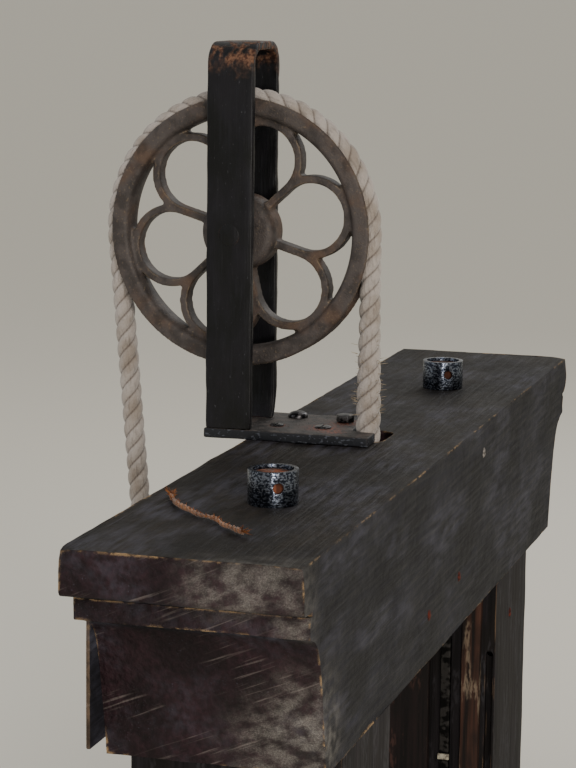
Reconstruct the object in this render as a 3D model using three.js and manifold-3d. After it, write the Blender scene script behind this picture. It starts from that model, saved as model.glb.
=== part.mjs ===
// Head of a free-standing timber hoist frame: a moulded crossbeam on two square posts,
// with a cast-iron rope wheel in a strap yoke on top.
// Millimetres. +X runs along the beam, +Z is up, and the flush long face looks along -Y.
// The origin is the centre of the first post's cut foot.
import * as THREE from 'three';
import { mergeVertices } from 'three/addons/utils/BufferGeometryUtils.js';
import Module from 'manifold-3d';

// ---- driving dimensions ----
const FIT_GAP = 0.3;

const POST_WIDTH = 154;
const POST_DEPTH = 176;
const POST_HEIGHT = 300;
const POST_SPACING = 594;

const BEAM_HEIGHT = 180;
const BEAM_OVERHANG_NEAR = 188;
const BEAM_OVERHANG_FAR = 292;
const BEAM_BODY_WIDTH = 180;

const BAND_HEIGHT = 38;
const QUIRK_HEIGHT = 4;
const FILLET_DEPTH = 18;
const FILLET_HEIGHT = 17;
// The near end's moulding is crisp and shallow; the far end's is deeper and rubbed round.
const NEAR_END = { edgeRadius: 6, quirkDepth: 23, coveDepth: 67 };
const FAR_END = { edgeRadius: 17, quirkDepth: 19, coveDepth: 91 };
const BAND_OVERHANG = 13.5;
const FILLET_OVERHANG = 8;
const FASCIA_THICKNESS = 3.5;
const FASCIA_END_DEPTH = 31;
const FASCIA_ABOVE_BEAM_FOOT = 14;

const SLEEVE_OFFSETS = [20, 40];
const SLEEVE_RADIUS = 21.2;
const SLEEVE_WALL = 4;
const SLEEVE_HEIGHT = 29;
const SLEEVE_HOLE_RADIUS = 4.5;
const SLEEVE_HOLE_ANGLE = THREE.MathUtils.degToRad(29);
const DOWEL_RECESS = 3;
const DOWEL_IN_POST = 60;

const ROPE_DIAMETER = 20;
const WHEEL_RADIUS = 127;
const WHEEL_ABOVE_BEAM = 65;
const FLANGE_WALL = 4.5;
const FLANGE_THICKNESS = 13.5;
const RIM_BULGE = 5.5;
const GROOVE_CLEARANCE = 0.5;
const GROOVE_CENTRE_DEPTH = 2;
const PETAL_COUNT = 6;
const PETAL_BAND = 7.5;
const PETAL_IN_RIM = 2;
const WEB_DEPTH = 18;
const HUB_RADIUS = 36;
const HUB_LENGTH = 38;
const PETAL_START = THREE.MathUtils.degToRad(13);

const AXLE_RADIUS = 10;
const RUNNING_CLEARANCE = 0.08;
const BUSH_WALL = 4;
const COLLAR_WALL = 7;

const YOKE_DEPTH = 84;
const STRAP_WIDTH = 44;
const STRAP_THICKNESS = 7;
const STRAP_BEND_RADIUS = 24;
const STRAP_ABOVE_WHEEL = 50;

const PLATE_PAST_REAR_LEG = 20;
const PLATE_PAST_ROPE = 10.7;
const PLATE_THICKNESS = 9;
const PLATE_PAST_STRAP = 2;
const PLATE_CORNER_RADIUS = 5;
const STRAP_PAST_BODY = 9.3;
const NOTCH_CLEARANCE = 4;

const ROPE_SLOT_RADIUS = 16;
const ROPE_SLOT_LENGTH = 66;
const ROPE_SLOT_CLEARANCE = 8;
const ROPE_OFF_CENTRE = -1.8;
const BRACKET_OFF_CENTRE = 21;
const FREE_ROPE_LEAN = Math.atan(0.085);
const FREE_ROPE_LENGTH = 455;
const KNOT_TURNS = 2.5;
const KNOT_CLEARANCE = 0.8;
const KNOT_END = 6;

const TWINE_DIAMETER = 6;

// ---- worked-out places ----
const BEAM_TOP = POST_HEIGHT + BEAM_HEIGHT;
const FLUSH_FACE = -POST_DEPTH / 2;
const BODY_REAR_FACE = FLUSH_FACE + BEAM_BODY_WIDTH;
const BEAM_START = -BEAM_OVERHANG_NEAR;
const BEAM_END = POST_SPACING + BEAM_OVERHANG_FAR;
const FILLET_TOP = BAND_HEIGHT + QUIRK_HEIGHT;
const FILLET_BOTTOM = FILLET_TOP + FILLET_HEIGHT;
const POST_CENTRES = [0, POST_SPACING];
const POST_NAMES = ['near', 'far'];
const ROPE_RADIUS = ROPE_DIAMETER / 2;
const GROOVE_CENTRE_RADIUS = WHEEL_RADIUS - GROOVE_CENTRE_DEPTH;
const ROPE_PATH_RADIUS = GROOVE_CENTRE_RADIUS + 0.1;
const RIM_WIDTH = ROPE_DIAMETER + 2 * (GROOVE_CLEARANCE + FLANGE_WALL);
const RIM_INNER_RADIUS = WHEEL_RADIUS - FLANGE_THICKNESS - RIM_BULGE;
const WHEEL_HEIGHT = WHEEL_ABOVE_BEAM + WHEEL_RADIUS;
const BUSH_RADIUS = AXLE_RADIUS + BUSH_WALL;
const COLLAR_RADIUS = AXLE_RADIUS + COLLAR_WALL;
const BRACKET_X = POST_SPACING / 2 + BRACKET_OFF_CENTRE;
const BRACKET_Y = ROPE_PATH_RADIUS + ROPE_OFF_CENTRE;
const ROPE_X = BRACKET_X;
const ROPE_Y = BRACKET_Y - ROPE_PATH_RADIUS;
const PLATE_OUTER_END = BRACKET_Y + STRAP_WIDTH / 2 + PLATE_PAST_STRAP;
const PLATE_INNER_END = ROPE_Y - PLATE_PAST_ROPE;
const PLATE_FRONT = BRACKET_X - YOKE_DEPTH / 2;
const PLATE_REAR = BRACKET_X + YOKE_DEPTH / 2 + PLATE_PAST_REAR_LEG;
const STRAP_INNER_EDGE = BRACKET_Y - STRAP_WIDTH / 2;
// The plate is screwed down where it lies inside the strap and over the beam's body.
const SCREWED_EDGE = Math.min(STRAP_INNER_EDGE, BODY_REAR_FACE + STRAP_PAST_BODY);
const STRAP_TOP = WHEEL_HEIGHT + WHEEL_RADIUS + STRAP_ABOVE_WHEEL;
const ROUND_SEGMENTS = 32;
const WHEEL_SEGMENTS = 72;
const SMALL_SEGMENTS = 20;

const wasm = await Module();
wasm.setup();

// ---- solids ----

// A geometry as a manifold solid, with its faces pointing out.
function solid(geometry) {
  const plain = geometry.clone();
  plain.deleteAttribute('normal');
  plain.deleteAttribute('uv');
  const merged = mergeVertices(plain, 1e-4);
  const points = merged.getAttribute('position').array;
  const corners = merged.getIndex().array;
  const kept = [];
  let volume = 0;
  for (let i = 0; i < corners.length; i += 3) {
    const [a, b, c] = [corners[i], corners[i + 1], corners[i + 2]];
    if (a === b || b === c || c === a) continue;
    kept.push(a, b, c);
    const [pa, pb, pc] = [a, b, c].map((n) => new THREE.Vector3().fromArray(points, 3 * n));
    volume += pa.dot(pb.cross(pc));
  }
  if (volume < 0) kept.reverse();
  const mesh = new wasm.Mesh({
    numProp: 3,
    vertProperties: new Float32Array(points),
    triVerts: new Uint32Array(kept),
  });
  return new wasm.Manifold(mesh);
}

function geometryOf(manifold) {
  const mesh = manifold.getMesh();
  const geometry = new THREE.BufferGeometry();
  geometry.setAttribute('position', new THREE.BufferAttribute(mesh.vertProperties, 3));
  geometry.setIndex(new THREE.BufferAttribute(mesh.triVerts, 1));
  geometry.computeVertexNormals();
  return geometry;
}

function box(low, high) {
  const size = high.map((value, i) => value - low[i]);
  const middle = high.map((value, i) => (value + low[i]) / 2);
  return solid(new THREE.BoxGeometry(...size).translate(...middle));
}

// A round bar along one axis, from one place on that axis to another.
function bar(axis, radius, start, end, centre, segments = ROUND_SEGMENTS) {
  const geometry = new THREE.CylinderGeometry(radius, radius, end - start, segments);
  geometry.translate(0, (start + end) / 2, 0);
  if (axis === 'x') geometry.rotateZ(-Math.PI / 2);
  if (axis === 'z') geometry.rotateX(Math.PI / 2);
  return solid(geometry.translate(...centre));
}

// An outline in X and Z, run from one Y to another.
function alongY(outline, start, end) {
  const geometry = new THREE.ExtrudeGeometry(outline, {
    depth: end - start, bevelEnabled: false, curveSegments: 7,
  });
  return solid(geometry.rotateX(Math.PI / 2).translate(0, end, 0));
}

// An outline in Y and Z, run from one X to another.
function alongX(outline, start, end) {
  const geometry = new THREE.ExtrudeGeometry(outline, { depth: end - start, bevelEnabled: false });
  const turn = new THREE.Matrix4().makeBasis(
    new THREE.Vector3(0, 1, 0), new THREE.Vector3(0, 0, 1), new THREE.Vector3(1, 0, 0),
  );
  return solid(geometry.applyMatrix4(turn).translate(start, 0, 0));
}

// An outline in X and Y, run from one Z to another.
function alongZ(outline, start, end) {
  const geometry = new THREE.ExtrudeGeometry(outline, {
    depth: end - start, bevelEnabled: false, curveSegments: 10,
  });
  return solid(geometry.translate(0, 0, start));
}

// A closed outline of [radius, x] points turned about the X axis.
function turnedAboutX(points, segments) {
  const profile = [...points, points[0]].map(([radius, x]) => new THREE.Vector2(radius, x));
  return solid(new THREE.LatheGeometry(profile, segments).rotateZ(-Math.PI / 2));
}

// A round tube that follows a curve.
function tube(curve, radius, steps, sides) {
  const ring = [];
  for (let i = 0; i < sides; i += 1) {
    const angle = (2 * Math.PI * i) / sides;
    ring.push(new THREE.Vector2(radius * Math.cos(angle), radius * Math.sin(angle)));
  }
  const geometry = new THREE.ExtrudeGeometry(new THREE.Shape(ring), {
    extrudePath: curve, steps, bevelEnabled: false,
  });
  return solid(geometry);
}

function rounded(left, bottom, right, top, radius) {
  const shape = new THREE.Shape();
  shape.moveTo(left + radius, bottom);
  shape.lineTo(right - radius, bottom);
  shape.absarc(right - radius, bottom + radius, radius, -Math.PI / 2, 0);
  shape.lineTo(right, top - radius);
  shape.absarc(right - radius, top - radius, radius, 0, Math.PI / 2);
  shape.lineTo(left + radius, top);
  shape.absarc(left + radius, top - radius, radius, Math.PI / 2, Math.PI);
  shape.lineTo(left, bottom + radius);
  shape.absarc(left + radius, bottom + radius, radius, Math.PI, 1.5 * Math.PI);
  return shape;
}

// ---- materials ----

function material(color, roughness, metalness = 0) {
  return new THREE.MeshStandardMaterial({ color, roughness, metalness });
}

const DARK_PAINT = material(0x37363a, 0.62);
const END_PAINT = material(0x3b3734, 0.66);
const WORN_WOOD = material(0x8a6240, 0.8);
const DARK_WOOD = material(0x4a2d24, 0.7);
const DOWEL_WOOD = material(0x7a5636, 0.8);
const BLACK_PAINT = material(0x1a1b1f, 0.45);
const RUSTY_IRON = material(0x54453f, 0.72, 0.5);
const HUB_METAL = material(0x6f5843, 0.6, 0.6);
const BOLT_STEEL = material(0x3a3836, 0.45, 0.8);
const SLEEVE_STEEL = material(0x8d8d90, 0.3, 0.9);
const RUNNER_STEEL = material(0x77736e, 0.4, 0.9);
const PEG_RUST = material(0x7a4a2c, 0.85, 0.2);
const PALE_CAP = material(0xcfc9c0, 0.6);
const ROPE_COTTON = material(0xcfc5ba, 0.9);
const TWINE_FIBRE = material(0xa8703f, 0.95);

function piece(name, body, look) {
  const mesh = new THREE.Mesh(geometryOf(body), look.clone());
  mesh.name = name;
  return mesh;
}

// ---- crossbeam ----

// One moulded end as [distance in from the end, depth below the top], from the top down.
function endProfile({ edgeRadius, quirkDepth, coveDepth }) {
  const points = [[0, 0], [0, BAND_HEIGHT - edgeRadius]];
  for (let i = 1; i <= 5; i += 1) {
    const angle = (i / 5) * (Math.PI / 2);
    const inward = edgeRadius * (1 - Math.cos(angle));
    points.push([inward, BAND_HEIGHT - edgeRadius * (1 - Math.sin(angle))]);
  }
  points.push([quirkDepth, BAND_HEIGHT], [quirkDepth, FILLET_TOP]);
  points.push([FILLET_DEPTH, FILLET_TOP], [FILLET_DEPTH, FILLET_BOTTOM]);
  const cove = new THREE.CubicBezierCurve(
    new THREE.Vector2(quirkDepth, FILLET_BOTTOM + 2),
    new THREE.Vector2(coveDepth * 0.72, FILLET_BOTTOM + 8),
    new THREE.Vector2(coveDepth * 0.76, FILLET_BOTTOM + 38),
    new THREE.Vector2(coveDepth, BEAM_HEIGHT),
  );
  for (const point of cove.getPoints(14)) points.push([point.x, point.y]);
  return points;
}

// The beam's long outline down to a depth below its top, moulded at both ends.
function longOutline(toDepth) {
  const within = (end) => endProfile(end).filter(([, depth]) => depth <= toDepth);
  const corner = (x, depth) => new THREE.Vector2(x, BEAM_TOP - depth);
  const down = within(NEAR_END).map(([inward, depth]) => corner(BEAM_START + inward, depth));
  const up = within(FAR_END).map(([inward, depth]) => corner(BEAM_END - inward, depth));
  return new THREE.Shape([...down, ...up.reverse()]);
}

const PEGS = [
  { name: 'beam_peg_low_near', x: 216, z: POST_HEIGHT + 43, inPost: false },
  { name: 'beam_peg_low_middle', x: 337, z: POST_HEIGHT + 50, inPost: false },
  { name: 'beam_peg_high_far', x: 438, z: BEAM_TOP - 29, inPost: false },
  { name: 'post_peg_far', x: POST_SPACING - 5, z: POST_HEIGHT - 48, inPost: true },
];
const PEG_RADIUS = 5;
const PEG_PROUD = 1.2;
const PEG_LENGTH = 30;

function pegHole({ x, z }) {
  const bottom = FLUSH_FACE + PEG_LENGTH + FIT_GAP;
  return bar('y', PEG_RADIUS + FIT_GAP, FLUSH_FACE - 5, bottom, [x, 0, z], SMALL_SEGMENTS);
}

const sleevePlaces = POST_CENTRES.map((x, i) => x + SLEEVE_OFFSETS[i]);
const DOWEL_RADIUS = SLEEVE_RADIUS - SLEEVE_WALL - FIT_GAP;

// Fasteners of the base plate; each lies so far inside the screwed edge.
const FASTENERS = [
  { name: 'base_screw_front_outer', inside: 16, x: PLATE_FRONT + 34, head: 'flat', radius: 6.5 },
  { name: 'base_bolt_rear_outer', inside: 22, x: PLATE_REAR - 20, head: 'dome', radius: 9.5 },
  { name: 'base_screw_front_inner', inside: 60, x: PLATE_FRONT + 38, head: 'flat', radius: 8 },
  { name: 'base_bolt_rear_inner', inside: 72, x: PLATE_REAR - 30, head: 'hex', radius: 9 },
];
const SHANK_RADIUS = 4;
const SHANK_LENGTH = 55;

function fastenerPlace({ x, inside }) {
  return [x, SCREWED_EDGE - inside];
}

function ropeSlot() {
  const start = ROPE_X - ROPE_RADIUS - ROPE_SLOT_CLEARANCE + ROPE_SLOT_RADIUS;
  const end = start + ROPE_SLOT_LENGTH - 2 * ROPE_SLOT_RADIUS;
  const shape = new THREE.Shape();
  shape.absarc(start, ROPE_Y, ROPE_SLOT_RADIUS, Math.PI / 2, 1.5 * Math.PI);
  shape.absarc(end, ROPE_Y, ROPE_SLOT_RADIUS, -Math.PI / 2, Math.PI / 2);
  return alongZ(shape, POST_HEIGHT - 10, BEAM_TOP + 10);
}

// The timber with the base plate's fastener holes, wherever they fall.
function withShankHoles(timber) {
  let drilled = timber;
  for (const fastener of FASTENERS) {
    const centre = [...fastenerPlace(fastener), 0];
    const bottom = BEAM_TOP - SHANK_LENGTH - FIT_GAP;
    const hole = bar('z', SHANK_RADIUS + FIT_GAP, bottom, BEAM_TOP + 10, centre, SMALL_SEGMENTS);
    drilled = drilled.subtract(hole);
  }
  return drilled;
}

function crossheadBeam() {
  let body = alongY(longOutline(BEAM_HEIGHT), FLUSH_FACE, BODY_REAR_FACE);
  for (const x of sleevePlaces) {
    body = body.subtract(bar('z', DOWEL_RADIUS + FIT_GAP, POST_HEIGHT - 10, BEAM_TOP + 10, [x, 0, 0]));
  }
  body = body.subtract(ropeSlot());
  for (const peg of PEGS.filter(({ inPost }) => !inPost)) body = body.subtract(pegHole(peg));
  return piece('crosshead_beam', withShankHoles(body), DARK_PAINT);
}

function rearCorniceMoulding() {
  const back = BODY_REAR_FACE + FIT_GAP;
  const band = alongY(longOutline(BAND_HEIGHT), back, BODY_REAR_FACE + BAND_OVERHANG);
  const neck = box(
    [BEAM_START + NEAR_END.quirkDepth, back, BEAM_TOP - FILLET_TOP - 2],
    [BEAM_END - FAR_END.quirkDepth, BODY_REAR_FACE + FILLET_OVERHANG - 3, BEAM_TOP - BAND_HEIGHT + 2],
  );
  const fillet = box(
    [BEAM_START + FILLET_DEPTH, back, BEAM_TOP - FILLET_BOTTOM],
    [BEAM_END - FILLET_DEPTH, BODY_REAR_FACE + FILLET_OVERHANG, BEAM_TOP - FILLET_TOP],
  );
  return piece('rear_cornice_moulding', withShankHoles(band.add(neck).add(fillet)), END_PAINT);
}

function rearFasciaBoard() {
  const board = box(
    [
      BEAM_START + FASCIA_END_DEPTH,
      BODY_REAR_FACE + FIT_GAP,
      POST_HEIGHT + FASCIA_ABOVE_BEAM_FOOT,
    ],
    [
      BEAM_END - FASCIA_END_DEPTH,
      BODY_REAR_FACE + FIT_GAP + FASCIA_THICKNESS,
      BEAM_TOP - FILLET_BOTTOM - FIT_GAP,
    ],
  );
  return piece('rear_fascia_board', withShankHoles(board), DARK_PAINT);
}

// ---- posts and their guides ----

const GUIDE_THICKNESS = 10;
const BATTEN_EDGE = 14;
const BATTEN_WIDTH = 19;
const CHANNEL_WIDTH = 34;
const RUNNER_WIDTH = 10;
const RUNNER_THICKNESS = 7;
const CAP_HEIGHT = 6;
const CAP_BELOW_TOP = 189;
const EDGE_SLOT_WIDTH = 8;
const EDGE_SLOT_DEPTH = 9;
const EDGE_SLOT_INSET = 2;
const EDGE_SLOT_BELOW_TOP = 75;

// A block on a post's inner face; side is +1 for the near post and -1 for the far one.
function onInnerFace(post, side, stand, thickness, fromY, toY, fromZ, toZ) {
  const face = post + side * (POST_WIDTH / 2 + stand);
  const outer = face + side * thickness;
  return box([Math.min(face, outer), fromY, fromZ], [Math.max(face, outer), toY, toZ]);
}

function postPieces(index) {
  const x = POST_CENTRES[index];
  const side = index === 0 ? 1 : -1;
  const end = POST_NAMES[index];
  const top = POST_HEIGHT - FIT_GAP;
  let post = box([x - POST_WIDTH / 2, FLUSH_FACE, 0], [x + POST_WIDTH / 2, -FLUSH_FACE, top]);
  const socket = [sleevePlaces[index], 0, 0];
  post = post.subtract(bar('z', DOWEL_RADIUS + FIT_GAP, top - DOWEL_IN_POST, top + 10, socket));
  const slotMiddle = FLUSH_FACE + EDGE_SLOT_INSET + EDGE_SLOT_WIDTH / 2;
  const slotTop = POST_HEIGHT - EDGE_SLOT_BELOW_TOP;
  const slotFace = x + side * (POST_WIDTH / 2 + 5);
  const slotFloor = x + side * (POST_WIDTH / 2 - EDGE_SLOT_DEPTH);
  const slotStart = Math.min(slotFace, slotFloor);
  const slotEnd = Math.max(slotFace, slotFloor);
  post = post.subtract(box(
    [slotStart, slotMiddle - EDGE_SLOT_WIDTH / 2, -10],
    [slotEnd, slotMiddle + EDGE_SLOT_WIDTH / 2, slotTop],
  ));
  const arch = [0, slotMiddle, slotTop];
  post = post.subtract(bar('x', EDGE_SLOT_WIDTH / 2, slotStart, slotEnd, arch, SMALL_SEGMENTS));
  if (index === 1) {
    for (const peg of PEGS.filter(({ inPost }) => inPost)) post = post.subtract(pegHole(peg));
  }
  const battenStart = FLUSH_FACE + BATTEN_EDGE;
  const channelStart = battenStart + BATTEN_WIDTH;
  const boardStart = channelStart + CHANNEL_WIDTH;
  const runnerStart = channelStart + (CHANNEL_WIDTH - RUNNER_WIDTH) / 2;
  const runnerEnd = runnerStart + RUNNER_WIDTH;
  const capBottom = POST_HEIGHT - CAP_BELOW_TOP;
  const gap = FIT_GAP;
  const batten = onInnerFace(x, side, gap, GUIDE_THICKNESS, battenStart, channelStart, 0, top);
  const runner = onInnerFace(x, side, gap, RUNNER_THICKNESS, runnerStart, runnerEnd, 0, top);
  const cap = onInnerFace(
    x, side, gap + RUNNER_THICKNESS + gap, 3,
    runnerStart - 1, runnerEnd + 1, capBottom, capBottom + CAP_HEIGHT,
  );
  const board = onInnerFace(x, side, gap, GUIDE_THICKNESS, boardStart, -FLUSH_FACE, 0, top);
  return [
    piece(`post_${end}`, post, DARK_WOOD),
    piece(`guide_batten_${end}`, batten, WORN_WOOD),
    piece(`runner_strip_${end}`, runner, RUNNER_STEEL),
    piece(`runner_cap_${end}`, cap, PALE_CAP),
    piece(`guide_board_${end}`, board, DARK_WOOD),
  ];
}

function pegPieces() {
  return PEGS.map((peg) => {
    const head = FLUSH_FACE - PEG_PROUD;
    const body = bar('y', PEG_RADIUS, head, FLUSH_FACE + PEG_LENGTH, [0, 0, 0], SMALL_SEGMENTS);
    const mesh = piece(peg.name, body, PEG_RUST);
    mesh.position.set(peg.x, 0, peg.z);
    return mesh;
  });
}

// ---- sleeves over the posts' dowels ----

function sleevePieces(index) {
  const end = POST_NAMES[index];
  const crossLength = 2 * SLEEVE_RADIUS + 10;
  const hole = new THREE.CylinderGeometry(
    SLEEVE_HOLE_RADIUS, SLEEVE_HOLE_RADIUS, crossLength, SMALL_SEGMENTS,
  );
  hole.rotateZ(Math.PI / 2 + SLEEVE_HOLE_ANGLE);
  hole.translate(0, 0, SLEEVE_HEIGHT * 0.55);
  const sleeveBody = bar('z', SLEEVE_RADIUS, 0, SLEEVE_HEIGHT, [0, 0, 0])
    .subtract(bar('z', SLEEVE_RADIUS - SLEEVE_WALL, -5, SLEEVE_HEIGHT + 5, [0, 0, 0]))
    .subtract(solid(hole));
  const sleeve = piece(`tenon_sleeve_${end}`, sleeveBody, SLEEVE_STEEL);
  sleeve.position.z = FIT_GAP;
  const foot = POST_HEIGHT - BEAM_TOP - DOWEL_IN_POST + 2;
  const dowelBody = bar('z', DOWEL_RADIUS, foot, SLEEVE_HEIGHT - DOWEL_RECESS, [0, 0, 0]);
  const group = new THREE.Group();
  group.position.set(sleevePlaces[index], 0, BEAM_TOP);
  group.add(sleeve, piece(`tenon_dowel_${end}`, dowelBody, DOWEL_WOOD));
  return group;
}

// ---- yoke: its origin is on the beam's top, under the wheel's centre ----

function yokeStrap() {
  const half = YOKE_DEPTH / 2;
  const foot = PLATE_THICKNESS + 2 * FIT_GAP;
  const outer = STRAP_BEND_RADIUS;
  const inner = STRAP_BEND_RADIUS - STRAP_THICKNESS;
  const bend = half - STRAP_BEND_RADIUS;
  const level = STRAP_TOP - STRAP_BEND_RADIUS;
  const shape = new THREE.Shape();
  shape.moveTo(-half, foot);
  shape.lineTo(-half + STRAP_THICKNESS, foot);
  shape.lineTo(-half + STRAP_THICKNESS, level);
  shape.absarc(-bend, level, inner, Math.PI, Math.PI / 2, true);
  shape.absarc(bend, level, inner, Math.PI / 2, 0, true);
  shape.lineTo(half - STRAP_THICKNESS, foot);
  shape.lineTo(half, foot);
  shape.absarc(bend, level, outer, 0, Math.PI / 2);
  shape.absarc(-bend, level, outer, Math.PI / 2, Math.PI);
  const strap = alongY(shape, -STRAP_WIDTH / 2, STRAP_WIDTH / 2);
  const hole = bar('x', AXLE_RADIUS + FIT_GAP, -half - 5, half + 5, [0, 0, WHEEL_HEIGHT]);
  return piece('yoke_strap', strap.subtract(hole), BLACK_PAINT);
}

function yokeBasePlate() {
  const front = PLATE_FRONT - BRACKET_X;
  const rear = PLATE_REAR - BRACKET_X;
  const outerEnd = PLATE_OUTER_END - BRACKET_Y;
  const innerEnd = PLATE_INNER_END - BRACKET_Y;
  const ropeY = ROPE_Y - BRACKET_Y;
  const outline = rounded(front, innerEnd, rear, outerEnd, PLATE_CORNER_RADIUS);
  let plate = alongZ(outline, FIT_GAP, FIT_GAP + PLATE_THICKNESS);
  // The rope's corner of the plate is cut away, with a round inner corner.
  const notch = new THREE.Shape();
  const notchRadius = ROPE_RADIUS + NOTCH_CLEARANCE;
  notch.absarc(0, ropeY, notchRadius, Math.PI / 2, Math.PI);
  notch.lineTo(-notchRadius, innerEnd - 10);
  notch.lineTo(rear + 10, innerEnd - 10);
  notch.lineTo(rear + 10, ropeY + notchRadius);
  plate = plate.subtract(alongZ(notch, -5, PLATE_THICKNESS + 5));
  for (const fastener of FASTENERS) {
    const [x, y] = fastenerPlace(fastener);
    const centre = [x - BRACKET_X, y - BRACKET_Y, 0];
    const hole = bar('z', SHANK_RADIUS + FIT_GAP, -5, PLATE_THICKNESS + 5, centre, SMALL_SEGMENTS);
    plate = plate.subtract(hole);
  }
  return piece('yoke_base_plate', plate, BLACK_PAINT);
}

function fastenerPiece(fastener) {
  const { head, radius } = fastener;
  const heights = { flat: 1.6, dome: 6, hex: 7 };
  const sides = { flat: SMALL_SEGMENTS, hex: 6 };
  const seat = PLATE_THICKNESS + 2 * FIT_GAP;
  const height = heights[head];
  let body = bar('z', SHANK_RADIUS, -SHANK_LENGTH, seat + height / 2, [0, 0, 0], SMALL_SEGMENTS);
  if (head === 'dome') {
    const profile = [[0, seat], [radius, seat], [radius, seat + 1.5]];
    for (let i = 1; i <= 4; i += 1) {
      const angle = (i / 4) * (Math.PI / 2);
      profile.push([radius * Math.cos(angle), seat + 1.5 + (height - 1.5) * Math.sin(angle)]);
    }
    const outline = [...profile, profile[0]].map(([r, z]) => new THREE.Vector2(Math.max(r, 0), z));
    body = body.add(solid(new THREE.LatheGeometry(outline, SMALL_SEGMENTS).rotateX(Math.PI / 2)));
  } else {
    body = body.add(bar('z', radius, seat, seat + height, [0, 0, 0], sides[head]));
  }
  const mesh = piece(fastener.name, body, BOLT_STEEL);
  const [x, y] = fastenerPlace(fastener);
  mesh.position.set(x - BRACKET_X, y - BRACKET_Y, 0);
  return mesh;
}

function axlePieces() {
  const half = YOKE_DEPTH / 2;
  const pin = bar('x', AXLE_RADIUS, -half - 1, half + 1, [0, 0, 0]);
  const start = HUB_LENGTH / 2 + FIT_GAP;
  const end = half - STRAP_THICKNESS - FIT_GAP;
  const collar = bar('x', COLLAR_RADIUS, start, end, [0, 0, 0])
    .subtract(bar('x', AXLE_RADIUS + FIT_GAP, start - 5, end + 5, [0, 0, 0]));
  const rear = piece('spacer_collar_rear', collar, BOLT_STEEL);
  const front = piece('spacer_collar_front', collar, BOLT_STEEL);
  front.rotation.z = Math.PI;
  return [piece('axle_pin', pin, BLACK_PAINT), front, rear];
}

// ---- wheel: its axis is X and its origin is its centre ----

function rim() {
  const half = RIM_WIDTH / 2;
  const groove = ROPE_RADIUS + GROOVE_CLEARANCE;
  const inner = WHEEL_RADIUS - FLANGE_THICKNESS;
  const lip = 2;
  const points = [];
  for (let i = 0; i <= 8; i += 1) {
    const angle = (i / 8) * Math.PI;
    points.push([GROOVE_CENTRE_RADIUS - groove * Math.sin(angle), groove * Math.cos(angle)]);
  }
  points.push([WHEEL_RADIUS - lip, -groove - 0.4], [WHEEL_RADIUS, -groove - lip]);
  points.push([WHEEL_RADIUS - 0.5, -half + 1], [WHEEL_RADIUS - lip, -half]);
  points.push([inner, -half]);
  for (let i = 1; i < 5; i += 1) {
    const angle = (i / 5) * Math.PI;
    points.push([inner - (inner - RIM_INNER_RADIUS) * Math.sin(angle), -half * Math.cos(angle)]);
  }
  points.push([inner, half]);
  points.push([WHEEL_RADIUS - lip, half], [WHEEL_RADIUS - 0.5, half - 1]);
  points.push([WHEEL_RADIUS, groove + lip], [WHEEL_RADIUS - lip, groove + 0.4]);
  return turnedAboutX(points, WHEEL_SEGMENTS);
}

const PETAL_REACH = RIM_INNER_RADIUS + PETAL_IN_RIM - PETAL_BAND;
const HALF_PITCH = Math.sin(Math.PI / PETAL_COUNT);
const PETAL_HOLE_RADIUS = (PETAL_REACH * HALF_PITCH - PETAL_BAND / 2) / (1 + HALF_PITCH);
const PETAL_CENTRE_RADIUS = PETAL_REACH - PETAL_HOLE_RADIUS;

function disc(radius, place, start, end) {
  return bar('x', radius, start, end, [0, -place, 0], 28);
}

// A petal's hole: round outside, and drawn in to the hub between two spokes.
function petalHole() {
  const reach = WEB_DEPTH;
  const spoke = Math.PI / PETAL_COUNT;
  const nose = PETAL_BAND / 2 / Math.sin(spoke);
  const side = PETAL_CENTRE_RADIUS * Math.cos(spoke);
  const wedge = new THREE.Shape();
  wedge.moveTo(-nose, 0);
  wedge.lineTo(-nose - side * Math.cos(spoke), side * Math.sin(spoke));
  wedge.lineTo(-nose - side * Math.cos(spoke), -side * Math.sin(spoke));
  return disc(PETAL_HOLE_RADIUS, PETAL_CENTRE_RADIUS, -reach, reach)
    .add(alongX(wedge, -reach, reach));
}

function pulleyWheel() {
  const half = WEB_DEPTH / 2;
  let web = disc(HUB_RADIUS, 0, -half, half);
  const turn = 360 / PETAL_COUNT;
  const loop = disc(PETAL_HOLE_RADIUS + PETAL_BAND, PETAL_CENTRE_RADIUS, -half, half);
  const spoke = box([-half, -PETAL_CENTRE_RADIUS, -PETAL_BAND / 2], [half, 0, PETAL_BAND / 2]);
  const hole = petalHole();
  for (let i = 0; i < PETAL_COUNT; i += 1) {
    web = web.add(loop.rotate([i * turn, 0, 0]));
    web = web.add(spoke.rotate([(i + 0.5) * turn, 0, 0]));
  }
  for (let i = 0; i < PETAL_COUNT; i += 1) web = web.subtract(hole.rotate([i * turn, 0, 0]));
  const hubHalf = HUB_LENGTH / 2;
  const hub = turnedAboutX([
    [0, -hubHalf], [HUB_RADIUS - 6, -hubHalf], [HUB_RADIUS - 1.5, -hubHalf + 3],
    [HUB_RADIUS, -hubHalf + 8], [HUB_RADIUS, hubHalf - 8],
    [HUB_RADIUS - 1.5, hubHalf - 3], [HUB_RADIUS - 6, hubHalf], [0, hubHalf],
  ], ROUND_SEGMENTS);
  const bore = bar('x', BUSH_RADIUS + FIT_GAP, -hubHalf - 5, hubHalf + 5, [0, 0, 0]);
  return piece('pulley_wheel', web.add(rim()).add(hub).subtract(bore), RUSTY_IRON);
}

function hubBush() {
  const half = HUB_LENGTH / 2;
  const bush = bar('x', BUSH_RADIUS, -half, half, [0, 0, 0])
    .subtract(bar('x', AXLE_RADIUS + RUNNING_CLEARANCE, -half - 5, half + 5, [0, 0, 0]));
  return piece('hub_bush', bush, HUB_METAL);
}

// ---- rope: its points are in the yoke's frame ----

const KNOT_PITCH = ROPE_DIAMETER + KNOT_CLEARANCE;
const KNOT_HEIGHT = KNOT_TURNS * KNOT_PITCH + ROPE_DIAMETER;

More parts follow.
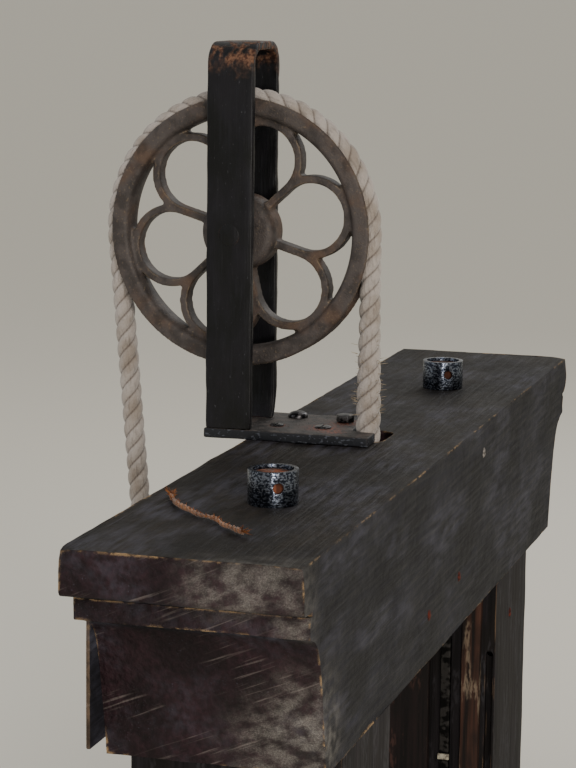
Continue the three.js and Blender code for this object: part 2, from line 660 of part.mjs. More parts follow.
function ropeCurve() {
  const points = [];
  const foot = -BEAM_HEIGHT - KNOT_HEIGHT + KNOT_END;
  const rising = 9;
  for (let i = 0; i < rising; i += 1) {
    const z = foot + ((WHEEL_HEIGHT - foot) * i) / rising;
    points.push(new THREE.Vector3(0, -ROPE_PATH_RADIUS, z));
  }
  const steps = 48;
  for (let i = 0; i <= steps; i += 1) {
    const angle = Math.PI - ((Math.PI + FREE_ROPE_LEAN) * i) / steps;
    const y = ROPE_PATH_RADIUS * Math.cos(angle);
    points.push(new THREE.Vector3(0, y, WHEEL_HEIGHT + ROPE_PATH_RADIUS * Math.sin(angle)));
  }
  const last = points[points.length - 1];
  const fall = new THREE.Vector3(0, -Math.sin(FREE_ROPE_LEAN), -Math.cos(FREE_ROPE_LEAN));
  const falling = 9;
  for (let i = 1; i <= falling; i += 1) {
    points.push(last.clone().addScaledVector(fall, (FREE_ROPE_LENGTH * i) / falling));
  }
  return new THREE.CatmullRomCurve3(points, false, 'centripetal');
}

// A stopper knot: the rope wound round its own end, along +Z from the knot's foot.
function stopperKnot() {
  const radius = ROPE_DIAMETER + KNOT_CLEARANCE;
  const points = [];
  const steps = 30;
  for (let i = 0; i <= steps; i += 1) {
    const angle = (2 * Math.PI * KNOT_TURNS * i) / steps;
    const z = ROPE_RADIUS + (KNOT_PITCH * KNOT_TURNS * i) / steps;
    points.push(new THREE.Vector3(radius * Math.cos(angle), radius * Math.sin(angle), z));
  }
  return tube(new THREE.CatmullRomCurve3(points, false, 'centripetal'), ROPE_RADIUS, 36, 8);
}

function ropePieces() {
  const curve = ropeCurve();
  const rope = piece('pulley_rope', tube(curve, ROPE_RADIUS, 80, 10), ROPE_COTTON);
  const fixed = piece('rope_knot_fixed', stopperKnot(), ROPE_COTTON);
  fixed.position.set(0, -ROPE_PATH_RADIUS, -BEAM_HEIGHT - KNOT_HEIGHT - 2);
  const free = piece('rope_knot_free', stopperKnot(), ROPE_COTTON);
  free.rotation.x = -FREE_ROPE_LEAN;
  free.position.copy(curve.getPoint(1));
  free.position.z += KNOT_END;
  free.position.y += KNOT_END * Math.tan(FREE_ROPE_LEAN);
  return [rope, fixed, free];
}

function oldTwine() {
  const lift = BEAM_TOP + TWINE_DIAMETER / 2 + FIT_GAP;
  const route = [
    [6, 84, 0], [-10, 76, 0], [-28, 66, 1], [-44, 50, 0.5], [-56, 38, 0], [-66, 22, 0.4],
    [-82, 10, 0], [-94, -2, 0.6], [-104, -14, 0],
  ];
  const points = route.map(([x, y, z]) => new THREE.Vector3(x, y, lift + z));
  const curve = new THREE.CatmullRomCurve3(points, false, 'centripetal');
  return piece('old_twine', tube(curve, TWINE_DIAMETER / 2, 26, 8), TWINE_FIBRE);
}

// ---- the object ----

const wheel = new THREE.Group();
wheel.position.z = WHEEL_HEIGHT;
wheel.rotation.x = -PETAL_START;
wheel.add(pulleyWheel(), hubBush());

const axle = new THREE.Group();
axle.position.z = WHEEL_HEIGHT;
axle.rotation.x = -PETAL_START;
axle.add(...axlePieces());

const yoke = new THREE.Group();
yoke.position.set(BRACKET_X, BRACKET_Y, BEAM_TOP);
yoke.add(yokeStrap(), yokeBasePlate(), ...FASTENERS.map(fastenerPiece));
yoke.add(axle, wheel, ...ropePieces());

const hoistHead = new THREE.Group();
hoistHead.add(crossheadBeam(), rearCorniceMoulding(), rearFasciaBoard());
hoistHead.add(...postPieces(0), ...postPieces(1), ...pegPieces());
hoistHead.add(sleevePieces(0), sleevePieces(1));
hoistHead.add(yoke, oldTwine());

export default hoistHead;
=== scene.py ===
"""Visual model of a timber hoist frame's head: a moulded beam on posts, and a rope wheel in a yoke."""

from __future__ import annotations

import logging
import math
import random
from collections.abc import Callable, Iterable
from dataclasses import dataclass, field
from enum import Enum

import bmesh
import bpy
from mathutils import Matrix, Vector, noise

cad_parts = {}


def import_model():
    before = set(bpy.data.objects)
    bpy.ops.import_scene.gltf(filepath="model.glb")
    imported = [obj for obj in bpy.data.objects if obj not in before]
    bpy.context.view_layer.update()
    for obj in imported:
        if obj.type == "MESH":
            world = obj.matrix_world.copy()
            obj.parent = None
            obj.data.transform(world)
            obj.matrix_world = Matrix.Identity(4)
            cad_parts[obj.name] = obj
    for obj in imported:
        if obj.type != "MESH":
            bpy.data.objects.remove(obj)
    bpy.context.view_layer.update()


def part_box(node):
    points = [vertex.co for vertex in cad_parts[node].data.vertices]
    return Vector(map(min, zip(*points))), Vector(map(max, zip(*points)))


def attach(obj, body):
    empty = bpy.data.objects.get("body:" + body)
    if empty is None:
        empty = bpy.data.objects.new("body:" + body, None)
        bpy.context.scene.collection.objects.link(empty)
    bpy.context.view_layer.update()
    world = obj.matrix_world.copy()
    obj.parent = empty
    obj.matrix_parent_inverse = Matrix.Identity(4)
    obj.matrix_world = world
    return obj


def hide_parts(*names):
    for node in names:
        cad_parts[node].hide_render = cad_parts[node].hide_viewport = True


LOG = logging.getLogger("hoist_head")
MM = 0.001
ROPE_RADIUS = 0.010
FULL_TURN = 2 * math.pi

Value = object
Socket = bpy.types.NodeSocket


class Axis(Enum):
    """The row-frame axis that a grain or a bar runs along."""

    X = 0
    Y = 1
    Z = 2


class Body(Enum):
    """The rigid bodies that pieces ride on."""

    FRAME = "frame"
    WHEEL = "wheel"


# ---------------------------------------------------------------- materials


def linear(hex_colour: str) -> tuple[float, float, float, float]:
    """Turns an sRGB hex colour into linear RGBA.

    Args:
        hex_colour: Six hex digits after a hash sign.

    Returns:
        The linear colour with an alpha of 1.
    """
    parts = [int(hex_colour[i : i + 2], 16) / 255 for i in (1, 3, 5)]
    flat = [c / 12.92 if c <= 0.04045 else ((c + 0.055) / 1.055) ** 2.4 for c in parts]
    return (flat[0], flat[1], flat[2], 1.0)


class Node(Enum):
    """The nodes that finishes are made of: type, settings, inputs in order, and the output that is read."""

    ABSOLUTE = ("Math", {"operation": "ABSOLUTE"}, (0,), 0)
    ADD = ("Math", {"operation": "ADD"}, (0, 1), 0)
    MAXIMUM = ("Math", {"operation": "MAXIMUM"}, (0, 1), 0)
    MULTIPLY = ("Math", {"operation": "MULTIPLY"}, (0, 1), 0)
    MULTIPLY_ADD = ("Math", {"operation": "MULTIPLY_ADD"}, (0, 1, 2), 0)
    SUBTRACT = ("Math", {"operation": "SUBTRACT"}, (0, 1), 0)
    STEP = ("MapRange", {"interpolation_type": "SMOOTHSTEP"}, (0, 1, 2), 0)
    MIX = ("Mix", {"data_type": "RGBA"}, (0, 6, 7), 2)
    DISTANCE = ("VectorMath", {"operation": "DISTANCE"}, (0, 1), "Value")
    DOT = ("VectorMath", {"operation": "DOT_PRODUCT"}, (0, 1), "Value")
    X_OF = ("SeparateXYZ", {}, (0,), 0)
    Z_OF = ("SeparateXYZ", {}, (0,), 2)
    POINT = ("TexCoord", {}, (), "Object")
    FACING = ("TexCoord", {}, (), "Normal")
    TRUE_NORMAL = ("NewGeometry", {}, (), "True Normal")
    ROUNDED_NORMAL = ("Bevel", {"samples": 4}, ("Radius",), 0)
    REAL_SIZE = ("Mapping", {"vector_type": "TEXTURE"}, ("Vector", "Scale", "Rotation"), 0)
    STRETCHED = ("Mapping", {}, ("Vector", "Scale"), 0)
    NOISE = ("TexNoise", {}, ("Vector", "Scale", "Detail"), 0)
    BUMP = ("Bump", {}, ("Height", "Distance", "Strength"), 0)
    GROOVE_DEPTH = ("Attribute", {"attribute_name": "groove"}, (), "Fac")
    LAY = ("UVMap", {"uv_map": "lay"}, (), 0)


def add(tree: bpy.types.NodeTree, node: Node, *inputs: Value) -> Socket:
    """Adds a node with its settings and links.

    Args:
        tree: The node tree that gets the node.
        node: Which node, with its settings.
        *inputs: Values or output sockets, in the order of the node's inputs.

    Returns:
        The output that is read from it.
    """
    kind, settings, names, output = node.value
    made = tree.nodes.new("ShaderNode" + kind)
    for key, value in settings.items():
        setattr(made, key, value)
    for name, value in zip(names, inputs):
        if isinstance(value, bpy.types.NodeSocket):
            tree.links.new(value, made.inputs[name])
        else:
            made.inputs[name].default_value = value
    return made.outputs[output]


def place(tree: bpy.types.NodeTree, size_mm: tuple[float, float, float], turn: float = 0.0) -> Socket:
    """Returns object coordinates in units of a real size along each axis.

    Args:
        tree: The node tree.
        size_mm: The length of one unit of the pattern along X, Y and Z.
        turn: How far the pattern is turned about X, in degrees.

    Returns:
        The scaled coordinates.
    """
    scale = tuple(MM * s for s in size_mm)
    return add(tree, Node.REAL_SIZE, add(tree, Node.POINT), scale, (math.radians(turn), 0, 0))


def cloud(
    tree: bpy.types.NodeTree, size_mm: tuple[float, float, float], detail: float = 4.0, turn: float = 0.0
) -> Socket:
    """Returns noise whose features have a real size along each axis.

    Args:
        tree: The node tree.
        size_mm: Feature size along X, Y and Z.
        detail: Number of finer octaves.
        turn: How far the pattern is turned about X, in degrees.

    Returns:
        A value that is mostly between 0.3 and 0.7.
    """
    return add(tree, Node.NOISE, place(tree, size_mm, turn), 1.0, detail)


def blotches(
    tree: bpy.types.NodeTree, size_mm: tuple[float, float, float], detail: float, start: float, end: float,
    turn: float = 0.0,
) -> Socket:
    """Returns noise of a real size that is 0 where it is below start and 1 where it is above end."""
    return add(tree, Node.STEP, cloud(tree, size_mm, detail, turn), start, end)


def coated(tree: bpy.types.NodeTree, base: Value, coat: Value, where: Value, strength: Value) -> Socket:
    """Returns a colour with a coat of another laid over it where a mask is 1, at a share of its strength."""
    return add(tree, Node.MIX, add(tree, Node.MULTIPLY, where, strength), base, coat)


def worn_edges(tree: bpy.types.NodeTree, radius_mm: float) -> Socket:
    """Returns a value that is 0 on flat ground and rises near sharp outer edges and corners."""
    rounded_normal = add(tree, Node.ROUNDED_NORMAL, radius_mm * MM)
    agreement = add(tree, Node.DOT, rounded_normal, add(tree, Node.TRUE_NORMAL))
    return add(tree, Node.SUBTRACT, 1.0, agreement)


@dataclass(frozen=True)
class Finish:
    """What a surface is made of and how it was finished."""

    name: str
    roughness: float = 0.6
    metallic: float = 0.0
    ior: float = 1.5
    gloss: float = 0.5

    def material(self) -> bpy.types.Material:
        """Returns this finish's material, and makes it the first time."""
        found = bpy.data.materials.get(self.name)
        if found:
            return found
        made = bpy.data.materials.new(self.name)
        made.use_nodes = True
        shader = made.node_tree.nodes["Principled BSDF"]
        shader.inputs["Roughness"].default_value = self.roughness
        shader.inputs["Metallic"].default_value = self.metallic
        if self.metallic < 0.5:
            shader.inputs["IOR"].default_value = self.ior
            shader.inputs["Specular IOR Level"].default_value = self.gloss
        self.dress(made.node_tree, shader.inputs)
        return made

    def dress(self, tree: bpy.types.NodeTree, shader: bpy.types.bpy_prop_collection) -> None:
        """Adds the nodes that colour and roughen the surface."""
        raise NotImplementedError


def spot(tree: bpy.types.NodeTree, centre_mm: tuple[float, float, float], radius_mm: float) -> Socket:
    """Returns 1 at a place on the object, falling softly to 0 at a distance from it."""
    centre = tuple(MM * c for c in centre_mm)
    away = add(tree, Node.DISTANCE, add(tree, Node.POINT), centre)
    return add(tree, Node.SUBTRACT, 1.0, add(tree, Node.STEP, away, radius_mm * MM * 0.15, radius_mm * MM))


@dataclass(frozen=True)
class PaintedTimber(Finish):
    """Old brushed paint on softwood: it bloomed with chalk, and its corners rubbed down to bare wood."""

    gloss: float = 0.13
    top: str = "#29241f"
    side: str = "#222229"
    end: str = "#2c1d22"
    bare: str = "#9c8260"
    chalk: str = "#5a5a68"
    chalk_amount: float = 0.36
    rubbed_above: float = 0.416
    spots: tuple[tuple[tuple[float, float, float], float], ...] = ()

    def dress(self, tree: bpy.types.NodeTree, shader: bpy.types.bpy_prop_collection) -> None:
        """Adds the facing colours, the bloom, the scratches, the rubbed spots and the rubbed edges."""
        facing = add(tree, Node.FACING)
        endways = add(tree, Node.STEP, add(tree, Node.ABSOLUTE, add(tree, Node.X_OF, facing)), 0.35, 0.75)
        upwards = add(tree, Node.STEP, add(tree, Node.Z_OF, facing), 0.4, 0.8)
        colour = add(tree, Node.MIX, endways, linear(self.side), linear(self.end))
        colour = add(tree, Node.MIX, upwards, colour, linear(self.top))
        shade = cloud(tree, (150, 80, 70), 5)
        brush = cloud(tree, (70, 4.2, 4.2), 6)
        mottle = cloud(tree, (15, 9, 9), 7)
        dark_places = ((shade, 0.38, 0.62, 0.6), (brush, 0.36, 0.64, 0.4), (mottle, 0.36, 0.6, 0.35))
        for pattern, start, end, strength in dark_places:
            darker = add(tree, Node.MIX, strength, colour, linear("#0a090a"))
            colour = add(tree, Node.MIX, add(tree, Node.STEP, pattern, start, end), darker, colour)
        bloom = blotches(tree, (110, 60, 50), 6, 0.44, 0.66, 20)
        bloom = add(tree, Node.MULTIPLY, bloom, blotches(tree, (34, 7, 7), 7, 0.3, 0.72, 14))
        share = add(tree, Node.MULTIPLY_ADD, endways, -0.55 * self.chalk_amount, self.chalk_amount)
        colour = coated(tree, colour, linear(self.chalk), bloom, share)
        lines = blotches(tree, (150, 1.4, 1.4), 2, 0.64, 0.74)
        lines = add(tree, Node.MULTIPLY, lines, blotches(tree, (90, 40, 40), 2, 0.45, 0.6))
        colour = coated(tree, colour, linear(self.chalk), lines, 0.3)
        strokes = blotches(tree, (30, 55, 2.2), 5, 0.56, 0.72, -24)
        strokes = add(tree, Node.MULTIPLY, strokes, blotches(tree, (50, 70, 30), 3, 0.46, 0.62))
        strokes = add(tree, Node.MULTIPLY, strokes, endways)
        colour = coated(tree, colour, linear("#7d7470"), strokes, 0.36)
        speckle = blotches(tree, (0.6, 1.5, 0.5), 3, 0.36, 0.76, -30)
        tuft = blotches(tree, (12, 16, 9), 8, 0.34, 0.7, -16)
        speckle = add(tree, Node.MULTIPLY_ADD, speckle, 0.65, 0.32)
        speckle = add(tree, Node.MULTIPLY, speckle, add(tree, Node.MULTIPLY_ADD, tuft, 0.9, 0.1))
        for centre, radius in self.spots:
            worn = add(tree, Node.MULTIPLY, spot(tree, centre, radius), speckle)
            colour = coated(tree, colour, linear("#8f8b85"), worn, 0.52)
        edge = add(tree, Node.STEP, worn_edges(tree, 3.2), 0.03, 0.16)
        patches = blotches(tree, (70, 40, 40), 2, 0.44, 0.6)
        on_end = add(tree, Node.MULTIPLY, endways, blotches(tree, (40, 26, 14), 3, 0.44, 0.6))
        level = add(tree, Node.Z_OF, add(tree, Node.POINT))
        high = add(tree, Node.STEP, level, self.rubbed_above, self.rubbed_above + 0.01)
        on_end = add(tree, Node.MULTIPLY, on_end, high)
        patches = add(tree, Node.MAXIMUM, patches, on_end)
        patches = add(tree, Node.MULTIPLY, patches, blotches(tree, (7, 7, 7), 5, 0.42, 0.58))
        rubbed = add(tree, Node.MULTIPLY, edge, patches)
        colour = add(tree, Node.MIX, rubbed, colour, linear(self.bare))
        tree.links.new(colour, shader["Base Color"])
        tree.links.new(add(tree, Node.MULTIPLY_ADD, brush, 0.4, self.roughness - 0.2), shader["Roughness"])
        coarse = add(tree, Node.MULTIPLY, mottle, 0.8)
        grain = add(tree, Node.ADD, add(tree, Node.MULTIPLY, brush, 1.1), coarse)
        grain = add(tree, Node.SUBTRACT, grain, add(tree, Node.MULTIPLY, rubbed, 0.5))
        tree.links.new(add(tree, Node.BUMP, grain, 1.5 * MM, 1.0), shader["Normal"])


@dataclass(frozen=True)
class StainedWood(Finish):
    """Dark stained softwood with an open vertical grain, dry and dull, rubbed pale in patches."""

    gloss: float = 0.2
    light: str = "#4d342d"
    dark: str = "#1f1614"
    rubbed: str = "#8f8279"
    rubbed_amount: float = 0.3
    edge_amount: float = 0.5

    def dress(self, tree: bpy.types.NodeTree, shader: bpy.types.bpy_prop_collection) -> None:
        """Adds the grain, the grime and the pale patches."""
        grain = cloud(tree, (5, 5, 140), 4)
        share = add(tree, Node.STEP, grain, 0.35, 0.68)
        colour = add(tree, Node.MIX, share, linear(self.dark), linear(self.light))
        grime = blotches(tree, (40, 40, 90), 4, 0.46, 0.62)
        colour = coated(tree, colour, linear("#120e0d"), grime, 0.8)
        patches = blotches(tree, (14, 14, 60), 6, 0.52, 0.6)
        patches = add(tree, Node.MULTIPLY, patches, blotches(tree, (2.5, 2.5, 9), 4, 0.42, 0.58))
        colour = coated(tree, colour, linear(self.rubbed), patches, self.rubbed_amount)
        edge = add(tree, Node.STEP, worn_edges(tree, 2.0), 0.06, 0.28)
        edge = add(tree, Node.MULTIPLY, edge, blotches(tree, (14, 14, 30), 3, 0.48, 0.6))
        edge = add(tree, Node.MULTIPLY, edge, self.edge_amount)
        colour = add(tree, Node.MIX, edge, colour, linear("#8f7256"))
        tree.links.new(colour, shader["Base Color"])
        tree.links.new(add(tree, Node.BUMP, grain, 0.9 * MM, 1.0), shader["Normal"])


@dataclass(frozen=True)
class BlackPaintedSteel(Finish):
    """Blacksmith's flat bar with brushed black paint, which rust lifts at the edges and on the top bend."""

    gloss: float = 0.3
    paint: str = "#0c0b11"
    worn: str = "#23252c"
    worn_amount: float = 0.3
    edge_amount: float = 0.6
    rust: str = "#6b4c39"
    rust_from_z: float = 10.0

    def dress(self, tree: bpy.types.NodeTree, shader: bpy.types.bpy_prop_collection) -> None:
        """Adds the paint's cloudiness, its worn places and the rust."""
        shade = cloud(tree, (22, 22, 60), 6)
        brush = cloud(tree, (2.2, 2.2, 38), 4)
        share = add(tree, Node.STEP, shade, 0.38, 0.66)
        colour = add(tree, Node.MIX, share, linear("#050607"), linear(self.paint))
        colour = coated(tree, colour, linear(self.worn), add(tree, Node.STEP, brush, 0.52, 0.7), 0.13)
        upwards = add(tree, Node.STEP, add(tree, Node.Z_OF, add(tree, Node.FACING)), 0.5, 0.9)
        worn = blotches(tree, (8, 8, 16), 6, 0.5, 0.64)
        share = add(tree, Node.MULTIPLY_ADD, upwards, self.worn_amount, self.worn_amount * 0.25)
        colour = coated(tree, colour, linear(self.worn), worn, share)
        flecks = blotches(tree, (1.8, 1.8, 4), 3, 0.68, 0.76)
        colour = coated(tree, colour, linear("#62646a"), flecks, 0.3)
        edge = add(tree, Node.STEP, worn_edges(tree, 1.4), 0.05, 0.3)
        patch = cloud(tree, (9, 9, 14), 6)
        edge = add(tree, Node.MULTIPLY, edge, add(tree, Node.STEP, patch, 0.46, 0.6))
        level = add(tree, Node.Z_OF, add(tree, Node.POINT))
        ragged = add(tree, Node.MULTIPLY_ADD, cloud(tree, (16, 16, 16), 5), 0.05, level)
        high = add(tree, Node.STEP, ragged, self.rust_from_z, self.rust_from_z + 0.022)
        high = add(tree, Node.MULTIPLY, high, add(tree, Node.STEP, patch, 0.42, 0.6))
        rusty = add(tree, Node.MAXIMUM, add(tree, Node.MULTIPLY, edge, self.edge_amount), high)
        share = blotches(tree, (3, 3, 3), 4, 0.4, 0.6)
        rust = add(tree, Node.MIX, share, linear("#3d2317"), linear(self.rust))
        colour = add(tree, Node.MIX, rusty, colour, rust)
        tree.links.new(colour, shader["Base Color"])
        paint_rough = add(tree, Node.MULTIPLY_ADD, shade, 0.35, self.roughness - 0.17)
        tree.links.new(add(tree, Node.MULTIPLY_ADD, rusty, 0.3, paint_rough), shader["Roughness"])
        height = add(tree, Node.ADD, add(tree, Node.ADD, shade, rusty), add(tree, Node.MULTIPLY, brush, 0.4))
        tree.links.new(add(tree, Node.BUMP, height, 0.7 * MM, 1.0), shader["Normal"])


@dataclass(frozen=True)
class WornPlate(Finish):
    """A base plate whose black paint is trodden off its top to grey-brown metal, with rust by the screws."""

    gloss: float = 0.35
    top: str = "#4a4340"
    paint: str = "#101319"
    rust: str = "#7a4433"
    rusty_places: tuple[tuple[tuple[float, float, float], float], ...] = ()

    def dress(self, tree: bpy.types.NodeTree, shader: bpy.types.bpy_prop_collection) -> None:
        """Adds the bare top, the chipped edges and the rust."""
        upwards = add(tree, Node.STEP, add(tree, Node.Z_OF, add(tree, Node.FACING)), 0.6, 0.95)
        patch = cloud(tree, (14, 14, 14), 6)
        chips = blotches(tree, (4, 5, 2.5), 4, 0.56, 0.64)
        painted = coated(tree, linear(self.paint), linear("#565a64"), chips, 0.5)
        share = add(tree, Node.STEP, patch, 0.42, 0.6)
        bare = add(tree, Node.MIX, share, linear("#2b2827"), linear(self.top))
        colour = add(tree, Node.MIX, upwards, painted, bare)
        grit = blotches(tree, (3, 3, 3), 4, 0.42, 0.58)
        for centre, radius in self.rusty_places:
            share = add(tree, Node.MULTIPLY, spot(tree, centre, radius), grit)
            colour = add(tree, Node.MIX, share, colour, linear(self.rust))
        edge = add(tree, Node.STEP, worn_edges(tree, 1.4), 0.05, 0.25)
        edge = add(tree, Node.MULTIPLY, edge, blotches(tree, (6, 6, 6), 4, 0.4, 0.56))
        colour = coated(tree, colour, linear("#80583f"), edge, 0.75)
        tree.links.new(colour, shader["Base Color"])
        tree.links.new(add(tree, Node.MULTIPLY_ADD, patch, 0.4, self.roughness - 0.2), shader["Roughness"])
        height = add(tree, Node.ADD, patch, chips)
        tree.links.new(add(tree, Node.BUMP, height, 0.6 * MM, 1.0), shader["Normal"])


@dataclass(frozen=True)
class RustyCasting(Finish):
    """Sand-cast iron, grey-brown with old rust in its hollows and a painted highlight of tan along its
    edges.
    """

    gloss: float = 0.3
    metal: str = "#494341"
    rust: str = "#54443a"
    dark: str = "#1d1b1b"
    # Tan of the flecks and of the painted highlight along the edges.
    rubbed: str = "#9a8668"

    def dress(self, tree: bpy.types.NodeTree, shader: bpy.types.bpy_prop_collection) -> None:
        """Adds the skin, the grime, the painted highlight along the edges and the sand grain."""
        shade = cloud(tree, (34, 34, 34), 7)
        share = add(tree, Node.STEP, shade, 0.47, 0.66)
        colour = add(tree, Node.MIX, share, linear(self.metal), linear(self.rust))
        grime = blotches(tree, (15, 15, 15), 7, 0.44, 0.64)
        colour = coated(tree, colour, linear(self.dark), grime, 0.5)
        flecks = blotches(tree, (2.4, 2.4, 2.4), 4, 0.58, 0.7)
        colour = coated(tree, colour, linear(self.rubbed), flecks, 0.16)
        # Painted highlight: the edges are lightened towards tan.
        edge = add(tree, Node.STEP, worn_edges(tree, 2.2), 0.02, 0.16)
        edge = add(tree, Node.MULTIPLY, edge, blotches(tree, (12, 12, 12), 4, 0.4, 0.6))
        colour = coated(tree, colour, linear(self.rubbed), edge, 0.55)
        tree.links.new(colour, shader["Base Color"])
        sand = cloud(tree, (1.8, 1.8, 1.8), 3)
        tree.links.new(add(tree, Node.MULTIPLY_ADD, shade, 0.4, self.roughness - 0.2), shader["Roughness"])
        height = add(tree, Node.ADD, sand, shade)
        tree.links.new(add(tree, Node.BUMP, height, 0.5 * MM, 1.0), shader["Normal"])


@dataclass(frozen=True)
class MottledSteel(Finish):
    """Bare steel that is half blackened, so that bright and dark blotches lie side by side."""

    bright: str = "#b9b9bd"
    dark: str = "#0e0f12"
    size_mm: float = 5.0
    dark_share: float = 0.5

    def dress(self, tree: bpy.types.NodeTree, shader: bpy.types.bpy_prop_collection) -> None:
        """Adds the blotches and the fine scratches."""
        blotch = cloud(tree, (self.size_mm, self.size_mm, self.size_mm * 0.8), 6)
        share = add(tree, Node.STEP, blotch, self.dark_share - 0.06, self.dark_share + 0.05)
        colour = add(tree, Node.MIX, share, linear(self.dark), linear(self.bright))
        tree.links.new(colour, shader["Base Color"])
        lines = cloud(tree, (30, 30, 0.9), 2)
        tree.links.new(add(tree, Node.MULTIPLY_ADD, lines, 0.35, self.roughness - 0.15), shader["Roughness"])
        height = add(tree, Node.ADD, blotch, lines)
        tree.links.new(add(tree, Node.BUMP, height, 0.12 * MM, 1.0), shader["Normal"])


@dataclass(frozen=True)
class FlatCoat(Finish):
    """A plain dull surface with a little dirt and unevenness, such as a peg head or a painted clip."""

    base: str = "#7a4a2c"
    dirt: str = "#2b211c"
    size_mm: float = 4.0

    def dress(self, tree: bpy.types.NodeTree, shader: bpy.types.bpy_prop_collection) -> None:
        """Adds the dirt and the unevenness."""
        shade = cloud(tree, (self.size_mm,) * 3, 5)
        share = add(tree, Node.STEP, shade, 0.42, 0.66)
        colour = add(tree, Node.MIX, share, linear(self.base), linear(self.dirt))
        tree.links.new(colour, shader["Base Color"])
        tree.links.new(add(tree, Node.BUMP, shade, 0.3 * MM, 1.0), shader["Normal"])


@dataclass(frozen=True)
class LaidCord(Finish):
    """Twisted natural fibre: soft and dull, with dirt and painted shade where its strands meet, and fine
    yarns along it.
    """

    gloss: float = 0.2
    fibre: str = "#a9a19b"
    # Colour of the dirt and painted shade in the grooves, also laid along the yarns.
    groove: str = "#483d36"
    stain: str = "#84776a"
    yarns: float = 26.0

    def dress(self, tree: bpy.types.NodeTree, shader: bpy.types.bpy_prop_collection) -> None:
        """Adds the yarns, the dirt and painted shade in the grooves, and the handling stains."""
        depth = add(tree, Node.GROOVE_DEPTH)
        stains = blotches(tree, (28, 28, 34), 5, 0.42, 0.68)
        colour = coated(tree, linear(self.fibre), linear(self.stain), stains, 0.7)
        # Dirt and painted shade: the grooves between the strands darken towards the groove colour.
        dirt = add(tree, Node.MULTIPLY_ADD, cloud(tree, (4, 4, 4), 4), 0.5, 0.5)
        dirt = add(tree, Node.MULTIPLY, add(tree, Node.STEP, depth, 0.45, 1.0), dirt)
        colour = add(tree, Node.MIX, dirt, colour, linear(self.groove))
        lengthways = add(tree, Node.STRETCHED, add(tree, Node.LAY), (self.yarns, 1.6, 1.0))
        yarn = add(tree, Node.NOISE, lengthways, 1.0, 4.0)
        fuzz = cloud(tree, (1.3, 1.3, 1.3), 4)
        colour = coated(tree, colour, linear(self.groove), add(tree, Node.STEP, yarn, 0.5, 0.72), 0.35)
        tree.links.new(colour, shader["Base Color"])
        shader["Sheen Weight"].default_value = 0.3
        height = add(tree, Node.ADD, add(tree, Node.MULTIPLY, yarn, 1.4), fuzz)
        tree.links.new(add(tree, Node.BUMP, height, 1.1 * MM, 1.0), shader["Normal"])


BEAM_PAINT = PaintedTimber(
    "brushed_paint_on_beam", roughness=0.62,
    spots=(
        ((-128, -80, 345), 66), ((-122, -56, 312), 74), ((-188, -62, 460), 54), ((-188, -18, 456), 44),
        ((-170, -84, 430), 34),
    ),
)
FASCIA_PAINT = PaintedTimber("brushed_paint_on_fascia", roughness=0.68, end="#5d4d3f", chalk_amount=0.35)
POST_STAIN = StainedWood(
    "stained_post", roughness=0.74, light="#211d20", dark="#0c0a0c", rubbed="#47454a", rubbed_amount=0.3
)
GUIDE_STAIN = StainedWood(
    "stained_guide_board", roughness=0.78, light="#1c1313", dark="#0b0808", rubbed="#5e4038",
    rubbed_amount=0.3, edge_amount=0.25,
)
BATTEN_WOOD = StainedWood(
    "rubbed_batten", roughness=0.7, light="#40281f", dark="#140e0c", rubbed="#94836f", rubbed_amount=0.42,
    edge_amount=0.8,
)
DOWEL_WOOD = StainedWood("dowel_end_grain", roughness=0.8, light="#80482f", dark="#4a2a1d")
STRAP_PAINT = BlackPaintedSteel("black_painted_strap", roughness=0.42, gloss=0.26, rust_from_z=0.843)
AXLE_PAINT = BlackPaintedSteel("black_painted_axle", roughness=0.42, gloss=0.26, edge_amount=0.0)
PLATE_PAINT = WornPlate(
    "worn_base_plate", roughness=0.6,
    rusty_places=(((312, 40, 489), 26), ((346, 27, 489), 24), ((296, 26, 489), 16), ((310, 84, 489), 12)),
)
CAST_IRON = RustyCasting("rusty_cast_iron", roughness=0.6, metallic=0.2)
# The bush's tan edges are a painted highlight too.
HUB_IRON = RustyCasting(
    "tarnished_hub", roughness=0.5, metallic=0.4, metal="#7a6551", rust="#6f553f", rubbed="#a38b6c"
)
BOLT_STEEL = MottledSteel(
    "blackened_bolt_steel", roughness=0.36, metallic=0.8, bright="#4c4a4c", dark_share=0.52
)
SLEEVE_STEEL = MottledSteel(
    "mottled_sleeve_steel", roughness=0.26, metallic=1.0, bright="#7c8390", dark="#2c313c", size_mm=2.2,
    dark_share=0.53,
)
RUNNER_STEEL = MottledSteel(
    "rubbed_runner_steel", roughness=0.4, metallic=0.85, bright="#343231", dark="#0b0a0a", size_mm=9,
    dark_share=0.54,
)
NICK = FlatCoat("pale_nick", roughness=0.9, gloss=0.2, base="#8b8682", dirt="#3a3634", size_mm=2.5)
PEG_RUST = FlatCoat(
    "rusted_peg_head", roughness=0.85, gloss=0.2, base="#5c261b", dirt="#22110e", size_mm=2.5
)
LOOSE_FIBRE = FlatCoat(
    "loose_sisal_fibre", roughness=0.95, gloss=0.2, base="#8a5631", dirt="#43261a", size_mm=3
)
CAP_PAINT = FlatCoat("pale_clip_paint", roughness=0.6, base="#a09a88", dirt="#5b544a")
ROPE_FUZZ = FlatCoat("loose_cotton_fibre", roughness=0.95, gloss=0.2, base="#aa9c84", dirt="#7c6c56")
ROPE_COTTON = LaidCord("laid_cotton_rope", roughness=0.9)
# Its dark groove colour is dirt and painted shade between the twine's strands.
TWINE_FIBRE = LaidCord(
    "frayed_sisal_twine", roughness=0.95, fibre="#8a5a35", groove="#1a0f0a", stain="#3f2516", yarns=12
)


# ---------------------------------------------------------------- mesh tools


